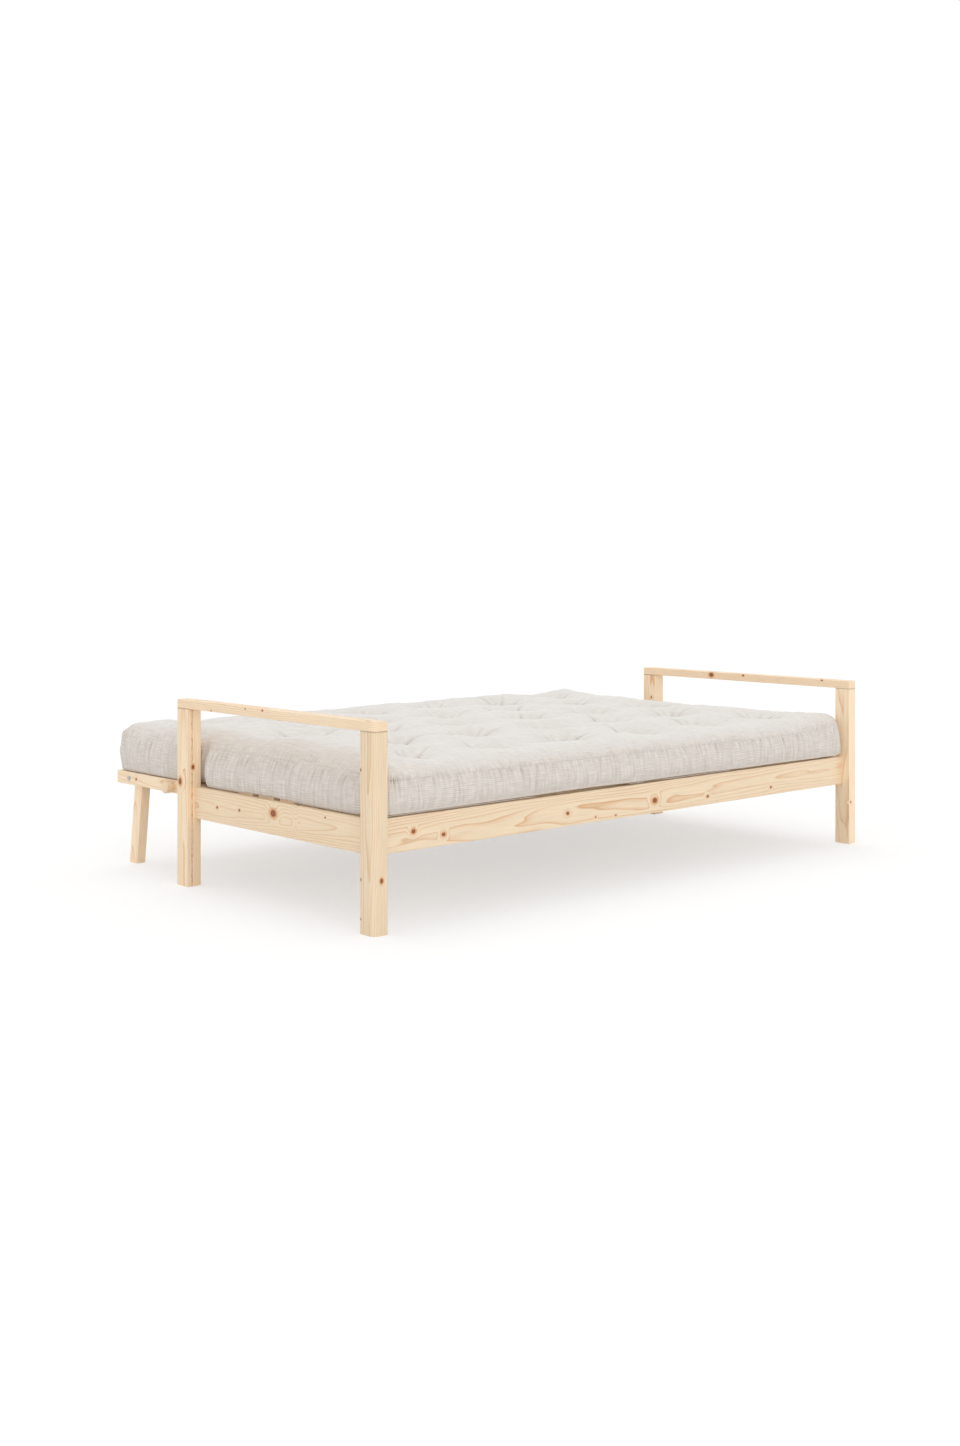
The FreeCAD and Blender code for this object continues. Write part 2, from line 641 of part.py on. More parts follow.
futon = box(
    "futon_block",
    (f"-{FUTON_END}", FUTON_FACE, SLAT_TOP),
    (f"2 * {FUTON_END}", FUTON_DEPTH, "mattress_thick"),
)
doc.recompute()
foot = futon.Shape.BoundBox.ZMin
futon = ease(futon, "mattress_round", lambda edge: edge.BoundBox.ZMax - foot > STRAIGHT)
futon = ease(futon, "mattress_foot_round", lambda edge: edge.BoundBox.ZMax - foot < STRAIGHT)
TUFT_PITCH = f"(2 * ({FUTON_END} - tuft_end_inset) / {max(TUFT_ROWS) - 1})"
TUFT_ROW_PITCH = f"(({FUTON_DEPTH} - 2 * tuft_side_inset) / {len(TUFT_ROWS) - 1})"
tufts = []
for row, count in enumerate(TUFT_ROWS):
    for n in range(count):
        tuft = doc.addObject("Part::Cone", f"tuft_{row + 1}_{n + 1}")
        bind(tuft, "Radius1", "tuft_knot_width / 2")
        bind(tuft, "Radius2", "tuft_width / 2")
        bind(tuft, "Height", "tuft_depth + fold_gap")
        x = f"{n - (count - 1) / 2} * {TUFT_PITCH}"
        y = f"{FUTON_FACE} + tuft_side_inset + {row} * {TUFT_ROW_PITCH}"
        put(tuft, (x, y, f"{FUTON_TOP} - tuft_depth"))
        tufts.append(tuft)
futon = cut("futon_tufted", futon, tufts)

# Futon parted at the fold by two planes through the hinge line, half the fold to each side


def beyond_fold(name, sign, gap):
    """All that lies behind the seat's fold plane, or with a sign of -1, before the back's."""
    reach = FUTON_DEPTH
    block = box(name, ("0", "0", "0"), ("frame_length", reach, f"2 * {reach}"))
    block.Placement = FreeCAD.Placement(
        FreeCAD.Vector(), FreeCAD.Rotation(FreeCAD.Vector(1, 0, 0), sign)
    )
    bind(block, "Placement.Rotation.Angle", f"{sign} * fold_angle / 2")
    lean = "(fold_angle / 2)"
    foot_y = f"{HINGE_Y} - {sign} * {gap} + {sign} * {reach} * sin({lean})"
    foot_z = f"{HINGE_Z} - {reach} * cos({lean})"
    if sign < 0:
        foot_y = f"{foot_y} - {reach} * cos({lean})"
        foot_z = f"{foot_z} + {reach} * sin({lean})"
    put(block, ("-frame_length / 2", foot_y, foot_z))
    return block


blanks["mattress_seat"] = cut("futon_seat", futon, [beyond_fold("behind_seat", 1, "fold_gap")])
blanks["mattress_back"] = cut("futon_back", futon, [beyond_fold("before_back", -1, "fold_gap")])
wedge = doc.addObject("Part::MultiCommon", "futon_fold")
wedge.Shapes = [futon, beyond_fold("behind_fold", 1, "0"), beyond_fold("before_fold", -1, "0")]
blanks["mattress_fold"] = wedge

# Each piece with its holes, and each set of fasteners as one group

nodes = {}
for name, blank in blanks.items():
    nodes[name] = cut(name, blank, holes[name]) if holes[name] else blank
for name, solids in groups.items():
    nodes[name] = gather(name, solids)
for name, node in nodes.items():
    node.Label = name
doc.recompute()

failed = [thing.Label for thing in doc.Objects if {"Invalid", "Error"} & set(thing.State)]
failed += [name for name, node in nodes.items() if node.Shape.isNull() or not node.Shape.isValid()]
if failed:
    raise RuntimeError(f"failed: {failed}")

os.makedirs("parts", exist_ok=True)
for name, node in nodes.items():
    node.Shape.exportStep(f"parts/{name}.step")
whole = Part.makeCompound([node.Shape for node in nodes.values()]).optimalBoundingBox(False)
print(f"{len(nodes)} pieces, {whole.XLength:.1f} x {whole.YLength:.1f} x {whole.ZLength:.1f} mm")
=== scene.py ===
# %% [markdown]
# # A pine sofa bed with a tufted futon
# The wooden frame comes in as a fixed CAD model at its real size, in metres. Its boards, bolts and
# brackets already have the right shape, so they only get a finish here. The futon comes in as three
# plain solids, so a sewn and stuffed one is modelled to take their place.

import itertools
import json
import math
import random

import bmesh
import bpy
import numpy as np
from mathutils import Euler, Matrix, Vector


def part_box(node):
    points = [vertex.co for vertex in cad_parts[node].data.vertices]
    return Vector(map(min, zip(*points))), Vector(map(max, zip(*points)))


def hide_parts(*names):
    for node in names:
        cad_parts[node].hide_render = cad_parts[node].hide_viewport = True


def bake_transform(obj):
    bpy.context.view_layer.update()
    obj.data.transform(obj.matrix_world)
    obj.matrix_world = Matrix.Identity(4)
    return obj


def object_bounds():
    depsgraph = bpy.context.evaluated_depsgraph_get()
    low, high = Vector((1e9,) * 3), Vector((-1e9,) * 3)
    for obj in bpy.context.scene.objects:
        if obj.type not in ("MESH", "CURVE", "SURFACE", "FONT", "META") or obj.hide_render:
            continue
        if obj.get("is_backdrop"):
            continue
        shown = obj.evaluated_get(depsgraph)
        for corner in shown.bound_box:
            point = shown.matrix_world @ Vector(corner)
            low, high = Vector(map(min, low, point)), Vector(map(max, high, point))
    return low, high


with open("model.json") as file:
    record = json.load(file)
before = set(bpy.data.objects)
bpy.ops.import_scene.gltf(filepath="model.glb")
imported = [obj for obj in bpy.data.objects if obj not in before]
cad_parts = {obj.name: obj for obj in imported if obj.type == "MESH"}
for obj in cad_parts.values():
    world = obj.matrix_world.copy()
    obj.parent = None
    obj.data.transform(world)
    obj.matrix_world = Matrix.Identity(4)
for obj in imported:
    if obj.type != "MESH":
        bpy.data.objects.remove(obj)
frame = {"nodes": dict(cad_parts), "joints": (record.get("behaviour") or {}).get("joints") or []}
nodes = frame["nodes"]
cad_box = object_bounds()
MM = 0.001
print(len(nodes), "pieces in the box", cad_box)

# %% [markdown]
# ## Colours and nodes
# A picture's colours are sRGB, while shader sockets want linear light, so one function turns hex
# values into linear ones. A second one adds a node, and takes values or other nodes' outputs for its
# sockets. With these two, a material reads from top to bottom like a recipe. A Mix node has sockets
# of the same name for numbers, vectors and colours, so those for colours are picked by their number.

# %% Helpers for materials
FIRST, SECOND, MIXED = 6, 7, 2
BLACK, WHITE = (0, 0, 0, 1), (1, 1, 1, 1)


def linear(hex_colour):
    """The linear colour, with alpha, of an sRGB hex value."""
    shares = [int(hex_colour[i : i + 2], 16) / 255 for i in (1, 3, 5)]
    return [c / 12.92 if c <= 0.04045 else ((c + 0.055) / 1.055) ** 2.4 for c in shares] + [1]


def add(owner, kind, sockets=None, **settings):
    """Adds one node to a material or world, fills its sockets and gives its outputs."""
    made = owner.node_tree.nodes.new(f"ShaderNode{kind}")
    for setting, value in settings.items():
        setattr(made, setting, value)
    for socket, value in (sockets or {}).items():
        if isinstance(value, bpy.types.NodeSocket):
            owner.node_tree.links.new(value, made.inputs[socket])
        else:
            made.inputs[socket].default_value = value
    return made.outputs


def new_material(name):
    """A material with no nodes yet."""
    material = bpy.data.materials.new(name)
    material.use_nodes = True
    material.node_tree.nodes.clear()
    return material


print("white is", linear("#FFFFFF"))

# %% [markdown]
# ## Pine boards
# Real pine shows the growth rings of the tree that it was sawn from: narrow lines where a face cuts
# the rings steeply, and wide arches where it only grazes them. A painted stripe pattern can't follow
# round an edge, so the wood is a solid texture: rings round a heart line that lies outside the board
# and leans a little. Every face, and the end grain too, then shows its own true cut.

# %% Lay a board in its tree
# The turns, in degrees, stand a board upright whose grain runs along that axis. The heart lies 35 to
# 65 mm off the middle of its thin side, and leans by about a degree. Any height in the tree will do.
GRAIN_TURNS = {"x": (0, -90, 0), "y": (90, 0, 0), "z": (0, 0, 0)}
HEART_ASIDE = 0.3
HEART_AWAY = (35, 65)
HEART_LEAN = (0.5, 1.2)
TREE_HEIGHT = 9


def lay_in_tree(board, along, lean, draw):
    """The turn and the shift that take a board to its place in a tree whose heart is the Z axis."""
    low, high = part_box(board)
    turn = [math.radians(a) for a in GRAIN_TURNS[along]]
    turn[0] += math.radians(lean)
    lay = Euler(turn).to_matrix()
    wide = [abs(side) for side in lay @ (high - low)]
    thin = 0 if wide[0] < wide[1] else 1
    heart = [draw.uniform(-HEART_ASIDE, HEART_ASIDE) * side for side in wide[:2]]
    heart.append(draw.uniform(0, TREE_HEIGHT))
    heart[thin] = draw.choice((-1, 1)) * draw.uniform(*HEART_AWAY) * MM
    slope = [math.radians(draw.choice((-1, 1)) * draw.uniform(*HEART_LEAN)) for _ in "xy"]
    lay = Euler((*slope, 0)).to_matrix() @ lay
    return lay, Vector(heart) - lay @ ((low + high) / 2)


print("hearts", HEART_AWAY, "mm off the middle, lean", HEART_LEAN, "degrees")

# %% [markdown]
# Knots are branches that run through the board. Each one is a point on the board's face and a radius,
# and the branch runs along the coordinate that is None. A knot with all three stays on its face: near
# an edge, a branch would draw a line across the next face. A thin branch along the grain draws a
# streak of resin.

# %% Knots that show on the frame
# X, Y and Z of the middle and the radius, in millimetres
KNOTS = {
    "front_rail": [
        (-864, None, 244, 5),
        (-762, None, 225, 4.5),
        (-304, None, 232, 4),
        (58, None, 232, 7),
        (297, None, 221, 3.5),
        (603, None, 220, 3),
        (-192, None, 209, 2),
        (-109, None, 206, 2),
    ],
    "side_rail_left": [
        (None, 72, 240, 3),
        (None, -38, 244, 3),
        (None, -200, 254, 9),
        (-985, -300, None, 3.5),
        (None, -432, 270, 2),
    ],
    "post_rear_left": [(None, 227, 300, 7), (-1001, None, 343, 4.5), (-1004, 186.5, None, 1)],
    "post_front_left": [
        (-994, None, 138, 4.5),
        (-1020, -611, 413, 2.5),
        (-1020, -611, 138, 2.5),
        (-1020, -611, 39, 2),
    ],
    "armrest_left": [(-1020, 66, 514, 2), (-1020, -102, 531, 2), (-1020, -183, 532, 2.5)],
    "armrest_right": [(975, -79, 526, 6.5), (975, -222, 531, 3), (975, -555, 533, 2.5)],
    "post_rear_right": [(None, 205, 429, 2.5)],
    "post_front_right": [(985, None, 138, 2.5)],
    "back_rail_left": [(None, 554, 269, 3)],
}
print(sum(len(knots) for knots in KNOTS.values()), "knots placed by eye")

# %% Draw the knots
# A knot is a little longer along the grain, and lumps of about 1 cm make its outline uneven. It has a
# brown core, darker at the bark, and an orange halo in the wood round it.
KNOT_STRETCH = 1.3
LUMPS_A_METRE, LUMP_SHIFT = 90, 2 * MM
NO_KNOT = 9.0


def knot_distance(material, place, along, knots):
    """How far each place lies from the nearest branch, in radii of that branch."""
    lumps = {"Vector": place, "Scale": LUMPS_A_METRE, "Detail": 1}
    lumps = add(material, "TexNoise", lumps)["Color"]
    uneven = {0: lumps, 1: (LUMP_SHIFT,) * 3, 2: place}
    uneven = add(material, "VectorMath", uneven, operation="MULTIPLY_ADD")["Vector"]
    nearest = NO_KNOT
    for *middle, size in knots:
        reach = [0 if v is None else 1 / (size * MM) for v in middle]
        reach["xyz".index(along)] /= KNOT_STRETCH
        back = [-(v or 0) * MM * r for v, r in zip(middle, reach)]
        branch = add(material, "VectorMath", {0: uneven, 1: reach, 2: back}, operation="MULTIPLY_ADD")
        away = add(material, "VectorMath", {0: branch["Vector"]}, operation="LENGTH")["Value"]
        nearest = add(material, "Math", {0: nearest, 1: away}, operation="MINIMUM")["Value"]
    return nearest


def colour_knots(material, wood, nearest):
    """Lays the halo and the core of each knot over the wood's colour."""
    halo = {"Value": nearest, "From Min": 1, "From Max": 2.4, "To Min": 0.85, "To Max": 0}
    halo = add(material, "MapRange", halo, interpolation_type="SMOOTHSTEP")["Result"]
    haloed = {0: halo, FIRST: wood, SECOND: linear("#D2955A")}
    haloed = add(material, "Mix", haloed, data_type="RGBA")[MIXED]
    bark = {"Value": nearest, "From Min": 0.2, "From Max": 0.95, "To Min": 0, "To Max": 1}
    bark = add(material, "MapRange", bark)["Result"]
    core = {0: bark, FIRST: linear("#A65A2B"), SECOND: linear("#6E3414")}
    core = add(material, "Mix", core, data_type="RGBA")[MIXED]
    inside = {"Value": nearest, "From Min": 0.85, "From Max": 1.1, "To Min": 1, "To Max": 0}
    inside = add(material, "MapRange", inside)["Result"]
    return add(material, "Mix", {0: inside, FIRST: haloed, SECOND: core}, data_type="RGBA")[MIXED]


print("knots are", KNOT_STRETCH, "times as long as wide")

# %% [markdown]
# A ring is pale spring wood that darkens slowly into a line of summer wood and ends sharply. The rings
# sway a little along the trunk, swerve round each knot, and show more in some years than in others.

# %% Draw the growth rings
# Rings are 2 to 4 mm apart, and are drawn a little wider, to show in a picture.
RING = 4.5 * MM
SWAYS_A_METRE, SWAY = (16, 16, 2.2), (0.022, 0.022, 0)
SWERVE, SWERVE_REACH = 9 * MM, 5
SUMMER_IN_RING = ((0.55, 0.08), (0.8, 0.45), (0.9, 1), (0.95, 0.08))


def growth_rings(material, grain, nearest):
    """How much summer wood shows at each place of a tree whose heart is the Z axis."""
    slow = add(material, "VectorMath", {0: grain, 1: SWAYS_A_METRE}, operation="MULTIPLY")["Vector"]
    sway = add(material, "TexNoise", {"Vector": slow, "Scale": 1, "Detail": 2})["Color"]
    swayed = {0: sway, 1: SWAY, 2: grain}
    swayed = add(material, "VectorMath", swayed, operation="MULTIPLY_ADD")["Vector"]
    flat = add(material, "VectorMath", {0: swayed, 1: (1, 1, 0)}, operation="MULTIPLY")["Vector"]
    radius = add(material, "VectorMath", {0: flat}, operation="LENGTH")["Value"]
    swerve = {"Value": nearest, "From Max": SWERVE_REACH, "To Min": SWERVE, "To Max": 0}
    swerve = add(material, "MapRange", swerve, interpolation_type="SMOOTHERSTEP")["Result"]
    radius = add(material, "Math", {0: radius, 1: swerve})["Value"]
    count = add(material, "Math", {0: radius, 1: RING}, operation="DIVIDE")["Value"]
    season = add(material, "Math", {0: count}, operation="FRACT")["Value"]
    summer = add(material, "ValToRGB", {"Fac": season})["Color"]
    ramp = material.node_tree.nodes[-1].color_ramp
    for position, shade in SUMMER_IN_RING:
        ramp.elements.new(position).color = (shade, shade, shade, 1)
    for end in (0, -1):
        ramp.elements[end].color = BLACK
    years = add(material, "TexNoise", {"Vector": slow, "Scale": 0.8, "Detail": 1})["Fac"]
    years = {"Value": years, "From Min": 0.3, "From Max": 0.7, "To Min": 0.4, "To Max": 1}
    years = add(material, "MapRange", years)["Result"]
    return add(material, "Math", {0: summer, 1: years}, operation="MULTIPLY")["Value"]


print("rings", RING / MM, "mm apart")

# %% [markdown]
# The boards are planed and lacquered. The lacquer lets the pale spring wood and the orange summer wood
# show, with a soft satin gloss. Fine fibres run along the grain, and most boards are a little paler or
# darker than the rest at random, as boards from different trees are. The front left post is set darker,
# and three boards that stand in shade are painted lighter, as painted light.

# %% Clear pine, planed and lacquered
# Fibres are a few hundredths of a millimetre thick, and are drawn far wider, to show in a picture.
FIBRE, FIBRE_STRETCH = 1.6 * MM, 70
FIBRE_TONES = (0.93, 1.05)
# Set tones: the front left post is darker, and the front right post, the rear left post and the left
# back leg, which stand in shade, are painted lighter, as painted light.
TONES_AND_PAINTED_LIGHT = {
    "post_front_left": -0.08,
    "post_front_right": 0.06,
    "post_rear_left": 0.03,
    "back_leg_left": 0.06,
}
OTHER_TONES = (-0.06, 0.06)
JOINT_SHADE, JOINT_FROM, JOINT_TO = 0.65, 4 * MM, 1 * MM


def pine(name, board, along, knots, lean=0, joint=False):
    """A pine material for one board, whose grain runs along an axis, tipped by a lean about X.

    A joint draws a thin dark line along the board's top, where another board lies on it.
    """
    draw = random.Random(board)
    lay, shift = lay_in_tree(board, along, lean, draw)
    tone_and_painted_light = TONES_AND_PAINTED_LIGHT.get(board, draw.uniform(*OTHER_TONES))
    material = new_material(f"{name}_{board}")
    place = add(material, "TexCoord")["Object"]
    turned = {"Vector": place, "Location": shift, "Rotation": lay.to_euler()}
    grain = add(material, "Mapping", turned)["Vector"]
    nearest = knot_distance(material, place, along, knots)
    summer = growth_rings(material, grain, nearest)
    thread = (1 / FIBRE, 1 / FIBRE, 1 / (FIBRE_STRETCH * FIBRE))
    thread = add(material, "VectorMath", {0: grain, 1: thread}, operation="MULTIPLY")["Vector"]
    fibre = add(material, "TexNoise", {"Vector": thread, "Scale": 1, "Detail": 2})["Fac"]

    colours = {0: summer, FIRST: linear("#F6E0C1"), SECOND: linear("#D9A066")}
    wood = add(material, "Mix", colours, data_type="RGBA")[MIXED]
    dark, pale = (fibre_tone + tone_and_painted_light for fibre_tone in FIBRE_TONES)
    shade = {"Value": fibre, "From Min": 0.3, "From Max": 0.7, "To Min": dark, "To Max": pale}
    shade = add(material, "MapRange", shade)["Result"]
    wood = add(material, "VectorMath", {0: wood, "Scale": shade}, operation="SCALE")["Vector"]
    wood = colour_knots(material, wood, nearest)
    if joint:
        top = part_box(board)[1].z
        line = {"From Min": top - JOINT_FROM, "From Max": top - JOINT_TO}
        line |= {"To Min": 1, "To Max": JOINT_SHADE}
        line["Value"] = add(material, "SeparateXYZ", {0: place})["Z"]
        line = add(material, "MapRange", line)["Result"]
        wood = add(material, "VectorMath", {0: wood, "Scale": line}, operation="SCALE")["Vector"]

    relief = add(material, "Math", {0: summer, 1: fibre})["Value"]
    bump = add(material, "Bump", {"Height": relief, "Strength": 0.25, "Distance": 0.3 * MM})["Normal"]
    gloss = add(material, "MapRange", {"Value": summer, "To Min": 0.5, "To Max": 0.42})["Result"]
    look = {"Base Color": wood, "Roughness": gloss, "IOR": 1.5, "Normal": bump}
    shader = add(material, "BsdfPrincipled", look)["BSDF"]
    add(material, "OutputMaterial", {"Surface": shader})
    return material


def dress(node, material):
    """Gives a CAD piece its finish."""
    nodes[node].data.materials.clear()
    nodes[node].data.materials.append(material)


print("fibres", FIBRE / MM, "mm thick")

# %% [markdown]
# Each board gets a cut of its own, so no two look alike. The grain follows the board's length: along X
# in the long rails and slats, along Y in the side rails and arms, and upright in the posts. The legs
# lean, so their grain leans with them. Boards that hardly show get a few knots at seeded places.

# %% Give every board its cut of pine
# The spacing is in metres, the sizes in millimetres and the lean in degrees.
GRAIN = {
    "x": ["front_rail", "rear_rail", "back_front_cross_rail", "back_end_cross_rail"],
    "y": ["side_rail_left", "side_rail_right", "armrest_left", "armrest_right", "centre_beam"]
    + ["slat_cleat_left", "slat_cleat_right", "back_rail_left", "back_rail_right", "back_centre_beam"],
    "z": ["post_front_left", "post_front_right", "post_rear_left", "post_rear_right"]
    + ["back_leg_left", "back_leg_centre", "back_leg_right"],
}
GRAIN["x"] += sorted(name for name in nodes if "_slat_" in name and "screws" not in name)
KNOT_SPACING, KNOT_SIZES = 0.45, (1.5, 2, 2.5, 4, 6)
LEG_LEAN = -7.3


def strewn_knots(board, along):
    """A few seeded knots along a board, which run through its thinnest side."""
    draw = random.Random(f"knots of {board}")
    low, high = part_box(board)
    sides = high - low
    across = [axis for axis in range(3) if axis != "xyz".index(along)]
    through = min(across, key=lambda axis: sides[axis])
    knots = []
    for _ in range(int(max(sides) / KNOT_SPACING)):
        middle = [draw.uniform(low[axis], high[axis]) / MM for axis in range(3)]
        middle[through] = None
        knots.append((*middle, draw.choice(KNOT_SIZES)))
    return knots


for along, boards in GRAIN.items():
    for board in boards:
        knots = KNOTS.get(board) or strewn_knots(board, along)
        lean = LEG_LEAN if "_leg_" in board else 0
        joint = board.startswith("post_")
        dress(board, pine("planed_lacquered_pine", board, along, knots, lean, joint))
for side in ("left", "right"):
    dress(f"knob_{side}", pine("turned_pine", f"knob_{side}", "x", []))
print(sum(len(boards) for boards in GRAIN.values()), "boards and 2 knobs in pine")

# %% [markdown]
# ## Dowels and fittings
# The beech dowels are almost wholly inside the joints, and the steel parts show only as a bolt head
# outside and brackets and screws below. Beech is pinker and more even than pine, with short dark
# flecks. Zinc plating is a bright grey metal, clouded by the bath that it came out of.

# %% Turned beech
FLECK = 2 * MM
beech = new_material("turned_beech")
place = add(beech, "TexCoord")["Object"]
flecks = add(beech, "TexNoise", {"Vector": place, "Scale": 1 / FLECK, "Detail": 2})["Fac"]
flecks = add(beech, "MapRange", {"Value": flecks, "From Min": 0.55, "From Max": 0.75})["Result"]
colours = {0: flecks, FIRST: linear("#DDBF9B"), SECOND: linear("#B98F66")}
shade = add(beech, "Mix", colours, data_type="RGBA")[MIXED]
surface = add(beech, "BsdfPrincipled", {"Base Color": shade, "Roughness": 0.6, "IOR": 1.5})["BSDF"]
add(beech, "OutputMaterial", {"Surface": surface})
dowels = ("arm_dowels", "rail_dowels", "back_dowels")
for name in dowels:
    dress(name, beech)
print("beech on", dowels)

# %% Zinc-plated steel
CLOUD = 4 * MM
steel = new_material("zinc_plated_steel")
place = add(steel, "TexCoord")["Object"]
cloud = add(steel, "TexNoise", {"Vector": place, "Scale": 1 / CLOUD, "Detail": 3})["Fac"]
colours = {0: cloud, FIRST: linear("#A9AEB4"), SECOND: linear("#C8CBCE")}
shade = add(steel, "Mix", colours, data_type="RGBA")[MIXED]
gloss = add(steel, "MapRange", {"Value": cloud, "To Min": 0.28, "To Max": 0.45})["Result"]
look = {"Base Color": shade, "Roughness": gloss, "Metallic": 1}
add(steel, "OutputMaterial", {"Surface": add(steel, "BsdfPrincipled", look)["BSDF"]})
fittings = [name for name in nodes if name.endswith(("_screws", "_bolts", "_brackets", "_spacers"))]
for name in fittings:
    dress(name, steel)
print("zinc on", fittings)

# %% [markdown]
# ## The futon
# A futon is a cotton bag, filled with layers of felt and foam and then tufted: twine is pulled right
# through it in staggered rows, so the top swells into soft cushions with a creased dimple at each
# twine. A remeshed block would lose the lines of the cloth, so the futon starts as a regular grid of
# cells, like the squares on a cutting pattern. Two grids make the top and bottom panels, a bridge
# makes the walls, and the rows of the wall crowd together at the seam.

# %% Cut the futon as a grid of cells
MATTRESS = ("mattress_seat", "mattress_fold", "mattress_back")
corners = np.array([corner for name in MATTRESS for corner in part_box(name)])
low, high = Vector(corners.min(0)), Vector(corners.max(0))
sides, middle = high - low, (low + high) / 2
hinge = Vector(next(joint for joint in frame["joints"] if joint["name"] == "back_fold")["pos_m"])
CELL = 14 * MM
ROWS_BELOW, ROWS_ABOVE = 8, 4

cut = bmesh.new()
columns, ranks = round(sides.x / CELL), round(sides.y / CELL)
for level in (low.z, high.z):
    spread = Matrix.Diagonal((sides.x, sides.y, 1, 1))
    place = Matrix.Translation((middle.x, middle.y, level)) @ spread
    bmesh.ops.create_grid(cut, x_segments=columns, y_segments=ranks, size=0.5, matrix=place)
bmesh.ops.bridge_loops(cut, edges=[edge for edge in cut.edges if edge.is_boundary])
uprights = [edge for edge in cut.edges if abs(edge.verts[0].co.z - edge.verts[1].co.z) > CELL]
rows = ROWS_BELOW + ROWS_ABOVE
bmesh.ops.subdivide_edges(cut, edges=uprights, cuts=rows - 1, use_grid_fill=True)
bmesh.ops.recalc_face_normals(cut, faces=cut.faces)
mesh = bpy.data.meshes.new("futon")
cut.to_mesh(mesh)
cut.free()
print(columns, "by", ranks, "cells,", rows, "rows in the wall,", len(mesh.vertices), "points")

# %% [markdown]
# The cloth pattern has to stay with the cloth when the futon swells, so each point keeps its place on
# the flat cut in an attribute, and a UV map in metres says how the weave lies. The top panel runs over
# the edge and down to the seam, so above the seam the weave is unrolled from the top. Below it the
# ribs of the weave run along the wall.

# %% Set the rows of the wall
SEAM_UP, SEAM_HUG = 114 * MM, 5 * MM


def read_points(mesh):
    """The places of a mesh's points, one row each."""
    points = np.empty(len(mesh.vertices) * 3)
    mesh.vertices.foreach_get("co", points)
    return points.reshape(-1, 3)


def write_points(mesh, points):
    """Moves a mesh's points to these places."""
    mesh.vertices.foreach_set("co", points.ravel())
    mesh.update()


flat = read_points(mesh)
levels = [np.linspace(0, SEAM_UP - SEAM_HUG, ROWS_BELOW), [SEAM_UP]]
levels.append(np.linspace(SEAM_UP + SEAM_HUG, sides.z, ROWS_ABOVE))
level = (flat[:, 2] - low.z) / sides.z * rows
flat[:, 2] = low.z + np.interp(level, range(rows + 1), np.concatenate(levels))
write_points(mesh, flat)
mesh.attributes.new("cut", "FLOAT_VECTOR", "POINT").data.foreach_set("vector", flat.ravel())
print("rows at", np.round(np.concatenate(levels) / MM), "mm")

# %% Lay the weave on the cut
weave = mesh.uv_layers.new(name="weave")
for face in mesh.polygons:
    axis = max(range(3), key=lambda i: abs(face.normal[i]))
    for loop in face.loop_indices:
        x, y, z = flat[mesh.loops[loop].vertex_index]
        run = math.copysign(high.z - z, face.normal[axis])
        if axis == 2:
            weave.uv[loop].vector = (x, y)
        elif face.center.z < low.z + SEAM_UP:
            weave.uv[loop].vector = (x if axis == 1 else y, z)
        else:
            weave.uv[loop].vector = (x + run, y) if axis == 0 else (x, y + run)
print("weave laid on", len(mesh.polygons), "cells")

# %% [markdown]
# ## Tufts and filling
# The tufts stand in five staggered rows. A cloth simulation fills the bag: the cut starts a little
# small, with rounded edges and the dimples begun, the bottom and the tufts are held, and air pressure
# swells the rest. The points may only move so far, which keeps the futon between the posts.

# %% Place the tufts
TUFT_PITCH, ROW_PITCH = 300 * MM, 235 * MM
TUFTS_IN_ROWS = (6, 5, 6, 5, 6)
TUFT_STRAY = 5 * MM
draw = random.Random("tufts")
tufts = []
for row, count in enumerate(TUFTS_IN_ROWS):
    y = middle.y + (row - (len(TUFTS_IN_ROWS) - 1) / 2) * ROW_PITCH
    for n in range(count):
        x = middle.x + (n - (count - 1) / 2) * TUFT_PITCH
        tufts.append((x + draw.gauss(0, TUFT_STRAY), y + draw.gauss(0, TUFT_STRAY)))
tufts = np.array(tufts)
print(len(tufts), "tufts")

# %% Measure places on the cut
# Heights are shares of the futon's thickness, from 0 at the foot to 1 on top.
POST_REACH = 50 * MM


def smoothstep(start, end, values):
    """Rises softly from 0 at the start to 1 at the end."""
    t = np.clip((values - start) / (end - start), 0, 1)
    return t * t * (3 - 2 * t)


def to_sides(flat):
    """How far each place on the cut lies from the nearest end and from the nearest long side."""
    return np.array(sides)[:2] / 2 - np.abs(flat[:, :2] - np.array(middle)[:2])


def off_posts(flat):
    """Zero beside the posts, and one where the ends are free to bulge."""
    free = 1
    for post in ("post_front_left", "post_rear_left"):
        start, end = (corner.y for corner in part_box(post))
        free = free * smoothstep(0, POST_REACH, np.maximum(start - flat[:, 1], flat[:, 1] - end))
    return free


height = (flat[:, 2] - low.z) / sides.z
print("free of the posts:", np.mean(off_posts(flat)))

# %% Shrink the cut and round its edges
# The ends have tighter edges than the long sides, apart from the foot beside the posts.
SHRINK = Vector((4, 5, 8)) * MM
TOP_ROUND, FOOT_ROUND = 50 * MM, 14 * MM
END_TOP_ROUND, END_FOOT_ROUND, POST_FOOT_ROUND = 38 * MM, 6 * MM, 20 * MM
CORNER_BLEND, FOOT_TO_TOP, TINY = 40 * MM, (0.3, 0.7), 1e-6
small_low = np.array(low) + (SHRINK.x, SHRINK.y, 0)
small_high = np.array(high) - SHRINK
points = small_low + (flat - low) / sides * (small_high - small_low)
at_end = smoothstep(-CORNER_BLEND, CORNER_BLEND, to_sides(flat) @ (-1, 1))
end_foot = POST_FOOT_ROUND + (END_FOOT_ROUND - POST_FOOT_ROUND) * off_posts(flat)
foot = FOOT_ROUND + (end_foot - FOOT_ROUND) * at_end
top = TOP_ROUND + (END_TOP_ROUND - TOP_ROUND) * at_end
bend = (foot + (top - foot) * smoothstep(*FOOT_TO_TOP, height))[:, None]
core = np.clip(points, small_low + bend, small_high - bend)
arm = points - core
arm_length = np.maximum(np.linalg.norm(arm, axis=1), bend[:, 0] * TINY)
points = core + arm * bend / arm_length[:, None]
print("rounded to", points.min(0), points.max(0))

